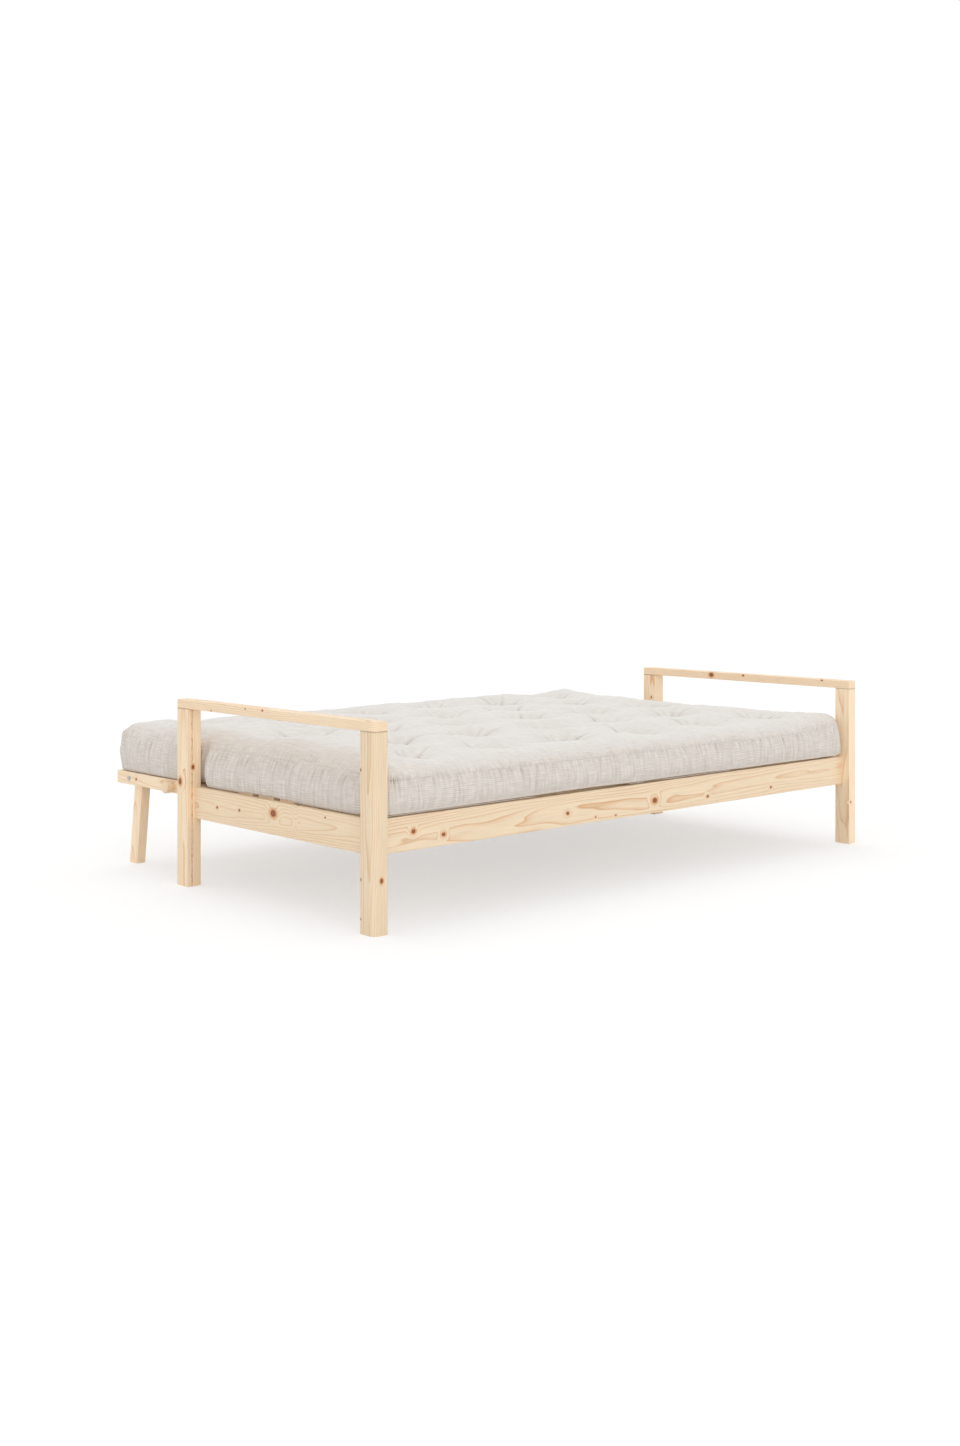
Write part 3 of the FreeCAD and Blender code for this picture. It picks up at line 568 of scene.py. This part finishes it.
# %% Start the dimples and let the edges drop
# The front edge drops, and the right end sags, apart from its far corner, which puffs up.
DIMPLE_DEEP, DIMPLE_WIDE, DIMPLE_POWER = 34 * MM, 75 * MM, 1.3
RIM_DROP, RIM_WIDE = 10 * MM, 90 * MM
FRONT_DROP, FRONT_WIDE, FRONT_EASE = 28 * MM, 150 * MM, 0.8
END_SAG, SAG_WIDE = 20 * MM, 300 * MM
CORNER_PUFF, PUFF_WIDE = 9 * MM, 150 * MM
UPPER_HALF = (0.5, 1)
away = np.linalg.norm(flat[:, None, :2] - tufts[None], axis=2)
dimple = np.exp(-((away / DIMPLE_WIDE) ** DIMPLE_POWER)).sum(1)
points[:, 2] -= DIMPLE_DEEP * dimple * (height == 1)
corner = np.exp(-to_sides(flat).max(1) / RIM_WIDE)
rim = np.exp(-to_sides(flat).min(1) / RIM_WIDE) - corner
right = smoothstep(high.x - SAG_WIDE, high.x, flat[:, 0])
sag = right * (1 - corner) * smoothstep(low.y, low.y + SAG_WIDE, flat[:, 1])
front = FRONT_DROP * np.exp(-(flat[:, 1] - low.y) / FRONT_WIDE) * (1 - FRONT_EASE * right)
to_far_corner = np.linalg.norm(flat[:, :2] - (high.x - RIM_WIDE, high.y), axis=1)
puff = CORNER_PUFF * np.exp(-((to_far_corner / PUFF_WIDE) ** 2))
drop = RIM_DROP * rim + END_SAG * sag + front - puff
points[:, 2] -= drop * smoothstep(*UPPER_HALF, height)
print("dimples down to", points[height == 1, 2].min(), "m")

# %% Bulge the ends
# The bulge is a little uneven, by waves whose rate is in radians a metre.
SIDE_BULGE, BULGE_EVEN, BULGE_WAVE, WAVE_RATE = 20 * MM, 0.92, 0.1, 11
BEHIND, BEHIND_RISE, BEHIND_FALL = 0.65, (0, 0.6), (0.8, 1.1)
BELLY, BELLY_TOP, BETWEEN_FALL = 0.5, 0.7, (0.6, 1)


def side_bulge(flat, height):
    """How far the ends bulge out, low in the wall between the posts and higher up behind them."""
    uneven = BULGE_EVEN + BULGE_WAVE * np.sin(WAVE_RATE * flat[:, 1])
    bulge = SIDE_BULGE * np.exp(-to_sides(flat)[:, 0] / RIM_WIDE) * uneven
    behind = BEHIND * smoothstep(*BEHIND_RISE, height) * (1 - smoothstep(*BEHIND_FALL, height))
    belly = 1 + BELLY * np.sin(np.pi * np.clip(height / BELLY_TOP, 0, 1))
    between = belly * (1 - smoothstep(*BETWEEN_FALL, height))
    return bulge * off_posts(flat) * np.where(flat[:, 1] > hinge.y, behind, between)


points[:, 0] += np.sign(flat[:, 0]) * side_bulge(flat, height)
write_points(mesh, points)
futon = bpy.data.objects.new("futon", mesh)
bpy.context.scene.collection.objects.link(futon)
print("bulged to", points.min(0), points.max(0))

# %% Fill the futon
PRESSURE, FRAMES = 8, 20
MOST_SWELL = 13 * MM
TWINE_HOLDS = 0.75 * CELL
held = futon.vertex_groups.new(name="held")
fixed = (height == 0) | ((away.min(1) < TWINE_HOLDS) & (height == 1))
held.add([int(i) for i in np.flatnonzero(fixed)], 1, "REPLACE")
cloth = futon.modifiers.new("filling", "CLOTH")
cloth.settings.vertex_group_mass = held.name
cloth.settings.use_pressure = True
cloth.settings.uniform_pressure_force = PRESSURE
cloth.settings.effector_weights.gravity = 0
cloth.point_cache.frame_end = FRAMES
for number in range(1, FRAMES + 1):
    bpy.context.scene.frame_set(number)
filled = futon.evaluated_get(bpy.context.evaluated_depsgraph_get()).data
moved = read_points(filled) - points
length = np.linalg.norm(moved, axis=1)
points = points + moved * np.minimum(1, MOST_SWELL / np.maximum(length, MM))[:, None]
futon.modifiers.remove(cloth)
bpy.context.scene.frame_set(1)
write_points(mesh, points)
print("swelled by", np.percentile(length, (5, 50, 95, 100)) / MM, "mm")
print("filled to", points.min(0), points.max(0))

# %% [markdown]
# ## Finer cells
# The filled shape is smoothed and its cells are halved by one subdivision, which is applied. Creases
# and gathers are only a few millimetres wide, so the cells are halved again where they lie: round each
# tuft, in the walls, and once more at the four corners.

# %% Halve the cells
divide = futon.modifiers.new("halves", "SUBSURF")
divide.levels = divide.render_levels = 1
smooth = bpy.data.meshes.new_from_object(futon.evaluated_get(bpy.context.evaluated_depsgraph_get()))
futon.modifiers.remove(divide)
futon.data = smooth
futon.vertex_groups.clear()
bpy.data.meshes.remove(mesh)
mesh = smooth
mesh.name = "futon"
print(len(mesh.polygons), "cells")

# %% Refine the cloth where it creases
TUFT_REACH, WALL_REACH, CORNER_REACH = 110 * MM, 20 * MM, 90 * MM


def refine(chosen):
    """Halves the edges whose two ends have chosen places on the cut."""
    finer = bmesh.new()
    finer.from_mesh(mesh)
    cut_place = finer.verts.layers.float_vector["cut"]
    marked = chosen(np.array([vert[cut_place] for vert in finer.verts]))
    edges = [edge for edge in finer.edges if marked[edge.verts[0].index] and marked[edge.verts[1].index]]
    bmesh.ops.subdivide_edges(finer, edges=edges, cuts=1, use_grid_fill=True)
    finer.to_mesh(mesh)
    finer.free()
    print(len(edges), "edges halved,", len(mesh.polygons), "cells")


def near_tufts(flat):
    close = np.linalg.norm(flat[:, None, :2] - tufts[None], axis=2).min(1) < TUFT_REACH
    return close & (flat[:, 2] > high.z - MM)


def in_walls(flat):
    return (flat[:, 2] > low.z + MM) & (to_sides(flat).min(1) < WALL_REACH)


def near_corners(flat):
    return (to_sides(flat).max(1) < CORNER_REACH) & (flat[:, 2] > low.z + SEAM_UP / 2)


refine(near_tufts)
refine(in_walls)
refine(near_corners)

# %% [markdown]
# ## Creases, seam and puckers
# The finer forms are pressed in now, because a simulation at this cell size would blur them: a sharp
# pit and four fans of creases at each tuft, soft valleys from tuft to tuft, the sunk seam with its
# puckers, upright creases in the walls and gathers at the corners. Two arrays collect them: how deep
# the cloth is pressed in at each point, and how much painted shade darkens the cover there.

# %% Soft random waves
ON_TOP = 0.99


def ripple(places, lengths, seed, waves=20):
    """A smooth random field of about unit height, with waves of the given lengths along each axis."""
    draw = np.random.default_rng(seed)
    ways = draw.normal(size=(waves, len(lengths)))
    ways *= draw.uniform(0.6, 1.4, (waves, 1)) / np.linalg.norm(ways, axis=1, keepdims=True)
    phases = (places / lengths) @ ways.T * 2 * np.pi + draw.uniform(0, 2 * np.pi, waves)
    return np.sin(phases).sum(1) * math.sqrt(2 / waves)


flat = np.empty(len(mesh.vertices) * 3)
mesh.attributes["cut"].data.foreach_get("vector", flat)
flat = flat.reshape(-1, 3)
height = (flat[:, 2] - low.z) / sides.z
sink = np.zeros(len(flat))
print("rippled", ripple(flat[:, :2], (0.3, 0.3), seed=1).std())

# %% Press the tufts
# Of the three creases in a fan, the middle one runs along the rows or across them, and the others lie
# 24 degrees to its sides and are weaker. Each crease curves a little, opens as it runs out, and has a
# swell beside it, at a place and of a width that are counted in widths of the crease.
PIT_DEEP, PIT_WIDE = 4 * MM, 12 * MM
HOLLOW_WIDE, HOLLOW_POWER = 55 * MM, 1.5
FANS, FAN_TURNS, FAN_STRAY = 4, (0, 24, -24), 11
CREASE_DEEP, CREASE_LONG, ACROSS_ROWS = 4.5 * MM, 190 * MM, 0.8
CREASE_WIDE, CREASE_OPENS, CREASE_CURVE = 3 * MM, 0.02, 1.2
MIDDLE_WEIGHT, SIDE_WEIGHT, SPREAD = (0.9, 1.1), (0.3, 0.75), (0.6, 1.2)
FADE_IN, FADE_FROM = 4 * PIT_WIDE, 0.3
BESIDE, BESIDE_AT, BESIDE_WIDE = 0.5, 3, 1.8
FAN_REACH = 4 * CREASE_LONG


def fan_crease(offset, fan, turn, draw):
    """How deep one crease of a fan is, at offsets from its tuft, with a soft swell on both sides."""
    angle = math.radians(360 // FANS * fan + turn + draw.gauss(0, FAN_STRAY))
    weight = draw.uniform(*(SIDE_WEIGHT if turn else MIDDLE_WEIGHT))
    along = offset @ (math.cos(angle), math.sin(angle))
    curve = draw.gauss(0, CREASE_CURVE) * along * along
    across = np.abs(offset @ (-math.sin(angle), math.cos(angle)) + curve)
    wide = CREASE_WIDE + CREASE_OPENS * np.maximum(along, 0)
    long = CREASE_LONG * weight * draw.uniform(*SPREAD) * (ACROSS_ROWS if fan % 2 else 1)
    fade = smoothstep(0, FADE_IN, along) * (1 - smoothstep(FADE_FROM * long, long, along))
    beside = BESIDE * np.exp(-(((across - BESIDE_AT * wide) / (BESIDE_WIDE * wide)) ** 2))
    fold = np.exp(-across / wide) - beside
    return CREASE_DEEP * weight * draw.uniform(*SPREAD) * fade * fold


# This array is only painted shade: it darkens the cover in the hollow round each tuft.
painted_hollow_shade = np.zeros(len(flat))
draw = random.Random("creases")
for tuft in tufts:
    offset = flat[:, :2] - tuft
    near = np.flatnonzero((np.abs(offset).max(1) < FAN_REACH) & (height > ON_TOP))
    offset = offset[near]
    distance = np.linalg.norm(offset, axis=1)
    sink[near] += PIT_DEEP * np.exp(-distance / PIT_WIDE)
    painted_hollow_shade[near] += np.exp(-((distance / HOLLOW_WIDE) ** HOLLOW_POWER))
    for fan, turn in itertools.product(range(FANS), FAN_TURNS):
        sink[near] += fan_crease(offset, fan, turn, draw)
# From here the crease array sets how far painted shade darkens the cover, starting from the tufts'
# pressing.
crease = sink.copy()
print("deepest press", sink.max() / MM, "mm")

# %% Draw the valleys from tuft to tuft
# A valley is half as deep midway. The waves over the whole top have a height, two lengths and a seed.
ROW_VALLEY, CROSS_VALLEY = 16 * MM, 4 * MM
VALLEY_WIDE, VALLEY_POWER, MIDWAY = 42 * MM, 1.3, 0.5
NEIGHBOURS = 1.1 * TUFT_PITCH
TOP_WAVES = ((3 * MM, (0.42, 0.3), 7), (0.8 * MM, (0.09, 0.05), 8))
on_top = smoothstep(low.z + SEAM_UP, high.z, flat[:, 2])
pairs = itertools.combinations(tufts, 2)
pairs = [(start, end) for start, end in pairs if np.linalg.norm(end - start) < NEIGHBOURS]
for start, end in pairs:
    reach = end - start
    share = np.clip((flat[:, :2] - start) @ reach / (reach @ reach), 0, 1)
    gap = np.linalg.norm(flat[:, :2] - start - share[:, None] * reach, axis=1)
    slack = MIDWAY + (1 - MIDWAY) * (2 * share - 1) ** 2
    deep = ROW_VALLEY if abs(reach[1]) < ROW_PITCH / 2 else CROSS_VALLEY
    sink += deep * slack * np.exp(-((gap / VALLEY_WIDE) ** VALLEY_POWER)) * on_top
for rise, lengths, seed in TOP_WAVES:
    sink += rise * ripple(flat[:, :2], lengths, seed) * on_top
print(len(pairs), "valleys")

# %% Pucker the walls
# Places along the walls are in metres, and the ends count on from 5 m, so that no crease of a long
# side turns up on an end. The shade at the foot is the shadow where the futon meets the wood.
ENDS_FROM = 5
FOOT_RISE, TOP_FALL = (0, 0.12), (0.75, 1)
SWELL, SWELL_LENGTHS = 1.6 * MM, (0.06, 0.5)
WRINKLE, WRINKLE_LENGTHS, WRINKLE_SHADE = 0.8 * MM, (0.016, 0.14), 1 * MM
FOOT_SHADE, FOOT_SHADE_UP = 2 * MM, (0, 0.35)
is_end = np.abs(flat[:, 0] - middle.x) > sides.x / 2 - MM
around = np.where(is_end, flat[:, 1] + ENDS_FROM, flat[:, 0])
on_wall = smoothstep(*FOOT_RISE, height) * (1 - smoothstep(*TOP_FALL, height))
wall_place = np.stack([around, flat[:, 2]], 1)
sink -= SWELL * ripple(wall_place, SWELL_LENGTHS, seed=3) * on_wall
wrinkle = ripple(wall_place, WRINKLE_LENGTHS, seed=4, waves=40) * on_wall
sink -= WRINKLE * wrinkle
# The wrinkles' hollows get painted shade.
crease += WRINKLE_SHADE * np.maximum(-wrinkle, 0)
crease += FOOT_SHADE * (1 - smoothstep(*FOOT_SHADE_UP, height)) * (height > 0)
print("wrinkles", WRINKLE / MM, "mm deep")

# %% Sink the seam
SEAM_DEEP, SEAM_WIDE = 1.3 * MM, 2.4 * MM
SEAM_UNEVEN, SEAM_LENGTHS = 0.3, (0.03, 1)
PUCKER, PUCKER_LENGTHS = 0.5 * MM, (0.02, 0.2)
PUCKER_UP, PUCKER_IN, PUCKER_FROM = 18 * MM, 20 * MM, 0.1
above_seam = flat[:, 2] - low.z - SEAM_UP
border = to_sides(flat).min(1)
uneven = 1 + SEAM_UNEVEN * ripple(wall_place, SEAM_LENGTHS, seed=5)
sink += SEAM_DEEP * uneven * np.exp(-((above_seam / SEAM_WIDE) ** 2))
on_edge = np.where(height > ON_TOP, np.exp(-border / PUCKER_IN), height > PUCKER_FROM)
pucker = PUCKER * ripple(wall_place, PUCKER_LENGTHS, seed=6, waves=40)
sink -= pucker * np.exp(-np.abs(above_seam) / PUCKER_UP) * on_edge
print("seam at", low.z + SEAM_UP, "m")

# %% Crease the walls
# Each crease starts a little below the seam and runs down, with a swell on both sides. Its sizes are
# drawn in millimetres.
WALL_CREASES, STARTS_BELOW = 70, (2, 14)
WALL_CREASE_WIDE, WALL_CREASE_LONG, WALL_CREASE_DEEP = (3, 5), (18, 45), (0.8, 2.8)
WALL_CREASE_LEAN, WALL_CREASE_IN, WALL_CREASE_SHADE = 0.12, 8 * MM, 2.5
WALL_BESIDE, WALL_BESIDE_AT = 0.5, 2.2
# Each crease also gets painted shade, in step with its depth.
draw = random.Random("walls")
for _ in range(WALL_CREASES):
    on_side = flat[:, 0].min() + draw.random() * sides.x
    on_end = ENDS_FROM + low.y + draw.random() * sides.y
    start = draw.choice((on_side, on_end))
    drop = -above_seam - draw.uniform(*STARTS_BELOW) * MM
    across = around - start + draw.gauss(0, WALL_CREASE_LEAN) * drop
    wide = draw.uniform(*WALL_CREASE_WIDE) * MM
    fade = np.exp(-np.maximum(drop, 0) / (draw.uniform(*WALL_CREASE_LONG) * MM))
    fade *= np.clip(drop / WALL_CREASE_IN, 0, 1)
    beside = WALL_BESIDE * np.exp(-(((np.abs(across) - WALL_BESIDE_AT * wide) / wide) ** 2))
    fold = np.exp(-((across / wide) ** 2)) - beside
    press = draw.uniform(*WALL_CREASE_DEEP) * MM * fold * fade * on_wall
    sink += press
    crease += WALL_CREASE_SHADE * press
print(WALL_CREASES, "wall creases")

# %% Gather the corners
# Angles run from 0 on the end's side of a corner to 1 on the long side, and the pleats are uneven.
GATHERS, GATHER_DEEP, GATHER_UP, GATHER_SHADE = 8, 3.5 * MM, 24 * MM, 1.5
UNEVEN, UNEVEN_RATE = 0.3, 9
FAN_IN, FAN_OUT = (-0.25, 0.1), (1.25, 0.9)
# The pleats of the gathers also get painted shade, in step with their depth.
points = read_points(mesh)
for x, y in itertools.product((low.x, high.x), (low.y, high.y)):
    hub = np.array([x - math.copysign(TOP_ROUND, x), y - math.copysign(TOP_ROUND, y)])
    out = (points[:, :2] - hub) * np.sign([x, y])
    angle = np.arctan2(out[:, 1], out[:, 0]) / (math.pi / 2)
    pleats = np.sin(2 * np.pi * (GATHERS * angle + UNEVEN * np.sin(UNEVEN_RATE * angle + x)))
    spread = np.exp(-np.abs(above_seam) / GATHER_UP)
    spread = spread * smoothstep(*FAN_IN, angle) * smoothstep(*FAN_OUT, angle)
    press = GATHER_DEEP * pleats * spread * (np.linalg.norm(out, axis=1) < CORNER_REACH)
    sink += press
    crease += GATHER_SHADE * press
print(4 * GATHERS, "gathers")

# %% [markdown]
# ## Lower edge
# All that was collected is pressed in along the normals. The lower edge then lifts off the front rail
# a little, most near the middle. At the ends it laps down past the slats, where nothing carries it,
# and it stays clear of the posts and of the rails below.

# %% Press the cloth in and lift the front
LIFT, LIFT_AT, LIFT_WIDE = 3 * MM, -0.03, 0.3
LIFT_WAVE, LIFT_LENGTHS = 1.5 * MM, (0.5, 9)
LIFT_IN, LIFT_UP = 45 * MM, (0, 0.4)
normals = np.empty(len(flat) * 3)
mesh.vertex_normals.foreach_get("vector", normals)
points -= sink[:, None] * normals.reshape(-1, 3)
lift = LIFT * np.exp(-(((flat[:, 0] - LIFT_AT) / LIFT_WIDE) ** 2))
lift += LIFT_WAVE * (1 + ripple(wall_place, LIFT_LENGTHS, seed=9))
lift *= np.exp(-(flat[:, 1] - low.y) / LIFT_IN) * (1 - smoothstep(*LIFT_UP, height))
points[:, 2] += lift
print("lifted by up to", lift.max() / MM, "mm")

# %% Keep the cloth clear of the wood
CLEAR, LAP_CLEAR, BULGE_ROOM = 0.4 * MM, 1.2 * MM, 1.3
LAP, LAP_RUN, LAP_UP = 9 * MM, 4 * MM, (0, 0.25)
post_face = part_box("post_front_right")[0].x
most = post_face - CLEAR + BULGE_ROOM * side_bulge(flat, height)
points[:, 0] = np.clip(points[:, 0], -most, most)
on_back = flat[:, 1] > hinge.y
slat_end = np.where(on_back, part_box("back_slat_1")[1].x + MM, post_face)
rail_top = np.where(on_back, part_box("back_rail_left")[1].z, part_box("side_rail_left")[1].z)
past_ends = smoothstep(0, LAP_RUN, np.abs(points[:, 0]) - slat_end)
room_below = (low.z - rail_top - LAP_CLEAR) * past_ends
points[:, 2] -= LAP * past_ends * (1 - smoothstep(*LAP_UP, height))
points[:, 2] = np.maximum(points[:, 2], low.z + CLEAR - room_below)
write_points(mesh, points)
mesh.shade_smooth()
print("futon from", points.min(0), "to", points.max(0))

# %% Keep the painted shade and painted light for the cover
CREASE_SHADE, HOLLOW_SHADE = 0.6, 0.3
# The walls get a shaded copy of the cover's colour and the top a lit one, as painted shade and painted
# light. This share rises from 0 on the walls to 1 on the top, over the roll above the seam.
TOP_LIGHT_RISE = (10 * MM, 110 * MM)
# Painted shade from the creases, the wrinkles, the wall's foot and the tuft hollows, from 0 to 1.
painted_crease_shade = np.clip(CREASE_SHADE * crease / CREASE_DEEP + HOLLOW_SHADE * painted_hollow_shade, 0, 1)
painted_top_light = smoothstep(*TOP_LIGHT_RISE, above_seam + np.where(height > ON_TOP, border, 0))
for name, shades in {"painted_top_light": painted_top_light, "crease": painted_crease_shade}.items():
    mesh.attributes.new(name, "FLOAT", "POINT").data.foreach_set("value", shades)
print("mean crease", painted_crease_shade.mean(), "mean roll", painted_top_light.mean())

# %% [markdown]
# ## Futon cover
# The cover is a heavy cotton and linen cloth, woven in fine ribs. Thick and thin yarns leave pale and
# dark streaks, and loose fibres give it a soft sheen. It reads the weave map, so its ribs follow the
# cloth round every swell. The walls get a shaded copy of the top's colour and the top a lit one, as
# painted shade and painted light, and the creases are darkened further by painted shade.

# %% Woven cotton and linen
# Ribs are about 3 mm apart, and are drawn nearly twice as wide to show in a picture. A streak is
# as wide as a few yarns, and much longer.
RIB = 5.5 * MM
WARP_STREAK, WEFT_STREAK = (5 * MM, 70 * MM), (50 * MM, 4 * MM)
cover = new_material("woven_cotton_linen")
cloth_place = add(cover, "UVMap", uv_map="weave")["UV"]
turns = (0, 2 * math.pi / RIB, 0)
across = add(cover, "VectorMath", {0: cloth_place, 1: turns}, operation="DOT_PRODUCT")["Value"]
rib = add(cover, "Math", {0: across}, operation="SINE")["Value"]
rib = add(cover, "MapRange", {"Value": rib, "From Min": -1, "From Max": 1})["Result"]
yarns = []
for wide, tall in (WARP_STREAK, WEFT_STREAK):
    stretch = {0: cloth_place, 1: (1 / wide, 1 / tall, 1)}
    stretch = add(cover, "VectorMath", stretch, operation="MULTIPLY")["Vector"]
    yarns.append(add(cover, "TexNoise", {"Vector": stretch, "Scale": 1, "Detail": 3})["Fac"])
yarn = add(cover, "Math", dict(enumerate(yarns)))["Value"]
streak = add(cover, "MapRange", {"Value": yarn, "From Min": 0.7, "From Max": 1.3})["Result"]
print("ribs", RIB / MM, "mm apart")

# %% Colour, painted shade and painted light of the cover, and its sheen
# The wall colours are a darker, shaded copy of the top colours: painted shade on the walls.
wall = {0: streak, FIRST: linear("#CDC5BC"), SECOND: linear("#E8E2DC")}
wall = add(cover, "Mix", wall, data_type="RGBA")[MIXED]
top = {0: streak, FIRST: linear("#DBD6D0"), SECOND: linear("#EAE6E1")}
top = add(cover, "Mix", top, data_type="RGBA")[MIXED]
# This attribute mixes the shaded wall copy into the lit top copy, as painted light on the top.
level = add(cover, "Attribute", attribute_name="painted_top_light")["Fac"]
shade = add(cover, "Mix", {0: level, FIRST: wall, SECOND: top}, data_type="RGBA")[MIXED]
groove = add(cover, "MapRange", {"Value": rib, "To Min": 0.9, "To Max": 1.04})["Result"]
shade = add(cover, "VectorMath", {0: shade, "Scale": groove}, operation="SCALE")["Vector"]
# The crease attribute is painted shade: it darkens the cover towards this grey brown in the creases, the
# tuft hollows and at the wall's foot.
crease_shade_mix = {0: add(cover, "Attribute", attribute_name="crease")["Fac"]}
crease_shade_mix |= {FIRST: shade, SECOND: linear("#BAB0A5")}
shade = add(cover, "Mix", crease_shade_mix, data_type="RGBA")[MIXED]
relief = add(cover, "Math", {0: yarn, 1: 0.6, 2: rib}, operation="MULTIPLY_ADD")["Value"]
bump = add(cover, "Bump", {"Height": relief, "Strength": 0.4, "Distance": 0.5 * MM})["Normal"]
look = {"Base Color": shade, "Roughness": 0.92, "IOR": 1.45, "Normal": bump}
look |= {"Sheen Weight": 0.5, "Sheen Roughness": 0.4, "Specular IOR Level": 0.2}
add(cover, "OutputMaterial", {"Surface": add(cover, "BsdfPrincipled", look)["BSDF"]})
mesh.materials.clear()
mesh.materials.append(cover)
print("cover of", len(cover.node_tree.nodes), "nodes")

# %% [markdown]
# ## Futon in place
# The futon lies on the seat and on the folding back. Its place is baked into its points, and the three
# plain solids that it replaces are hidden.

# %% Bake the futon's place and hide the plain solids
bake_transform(futon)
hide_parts(*MATTRESS)

# %% [markdown]
# ## Studio
# A pale floor, an even sky, a broad soft lamp from above and a stronger one beside the camera. To the
# camera the floor and the sky are plain white, so the sofa bed stands on white with only its own soft
# shadow.

# %% White floor
FLOOR_REACH = 40
FLOOR_LIGHT, FLOOR_SEEN, FLOOR_GLOW = (0.9, 0.9, 0.9, 1), (0.45, 0.45, 0.45, 1), 0.56


def seen_rays(owner):
    """One for rays from the camera, also by way of a mirror or glass, and zero for other light."""
    path = add(owner, "LightPath")
    seen = path["Is Camera Ray"]
    for ray in ("Is Glossy Ray", "Is Transmission Ray"):
        seen = add(owner, "Math", {0: seen, 1: path[ray]}, operation="MAXIMUM")["Value"]
    return seen


floor_cut = bmesh.new()
bmesh.ops.create_grid(floor_cut, x_segments=1, y_segments=1, size=FLOOR_REACH)
floor_mesh = bpy.data.meshes.new("floor")
floor_cut.to_mesh(floor_mesh)
floor_cut.free()
floor = bpy.data.objects.new("floor", floor_mesh)
bpy.context.scene.collection.objects.link(floor)
floor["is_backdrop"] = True
paper = new_material("white_paper")
matte = add(paper, "BsdfDiffuse", {"Color": FLOOR_LIGHT})["BSDF"]
shadow = add(paper, "BsdfDiffuse", {"Color": FLOOR_SEEN})["BSDF"]
glow = add(paper, "Emission", {"Color": WHITE, "Strength": FLOOR_GLOW})["Emission"]
bright = add(paper, "AddShader", {0: shadow, 1: glow})["Shader"]
surface = add(paper, "MixShader", {0: seen_rays(paper), 1: matte, 2: bright})["Shader"]
add(paper, "OutputMaterial", {"Surface": surface})
floor_mesh.materials.append(paper)
print("floor reaches", FLOOR_REACH, "m")

# %% Sky and lamps
# A lamp has a strength and the direction that its light comes from.
SKY = 0.82
LAMPS = {"top_lamp": (0.5, (0.1, 0.3, 0.93)), "fill_lamp": (0.72, (-0.42, -0.86, 0.25))}
LAMP_SPREAD = 50
world = bpy.data.worlds.new("studio")
world.use_nodes = True
world.node_tree.nodes.clear()
soft = add(world, "Background", {"Color": WHITE, "Strength": SKY})["Background"]
white = add(world, "Background", {"Color": WHITE, "Strength": 1})["Background"]
surface = add(world, "MixShader", {0: seen_rays(world), 1: soft, 2: white})["Shader"]
add(world, "OutputWorld", {"Surface": surface})
bpy.context.scene.world = world
for name, (energy, way) in LAMPS.items():
    lamp_data = bpy.data.lights.new(name, "SUN")
    lamp_data.energy = energy
    lamp_data.angle = math.radians(LAMP_SPREAD)
    lamp = bpy.data.objects.new(name, lamp_data)
    lamp.rotation_euler = Vector(way).to_track_quat("Z", "Y").to_euler()
    bpy.context.scene.collection.objects.link(lamp)
bpy.context.scene.view_settings.view_transform = "Standard"
print("sky", SKY, "lamps", LAMPS)

# %% [markdown]
# ## Camera
# The picture was taken at about waist height from the front left, with the camera level, so the
# uprights stay upright. A shift of the lens sets the sofa bed a little below the middle.

# %% Camera at the picture's place
# The place is in metres, the turn in degrees, and the sensor and the lens in millimetres.
CAMERA_PLACE = (-3.6234, -3.9215, 0.9536)
CAMERA_TURN = -42.265
SENSOR, LENS, SHIFT = 36, 41.71, -0.117
camera_data = bpy.data.cameras.new("camera")
camera_data.sensor_width = SENSOR
camera_data.lens = LENS
camera_data.shift_y = SHIFT
camera = bpy.data.objects.new("camera", camera_data)
camera.location = CAMERA_PLACE
camera.rotation_euler = (math.radians(90), 0, math.radians(CAMERA_TURN))
bpy.context.scene.collection.objects.link(camera)
bpy.context.scene.camera = camera
print("camera at", CAMERA_PLACE)

# %% Print the CAD box and the visual box
boxes = {"cad": cad_box, "visual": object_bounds()}
boxes = {name: [[float(v) for v in corner] for corner in box] for name, box in boxes.items()}
print(boxes)
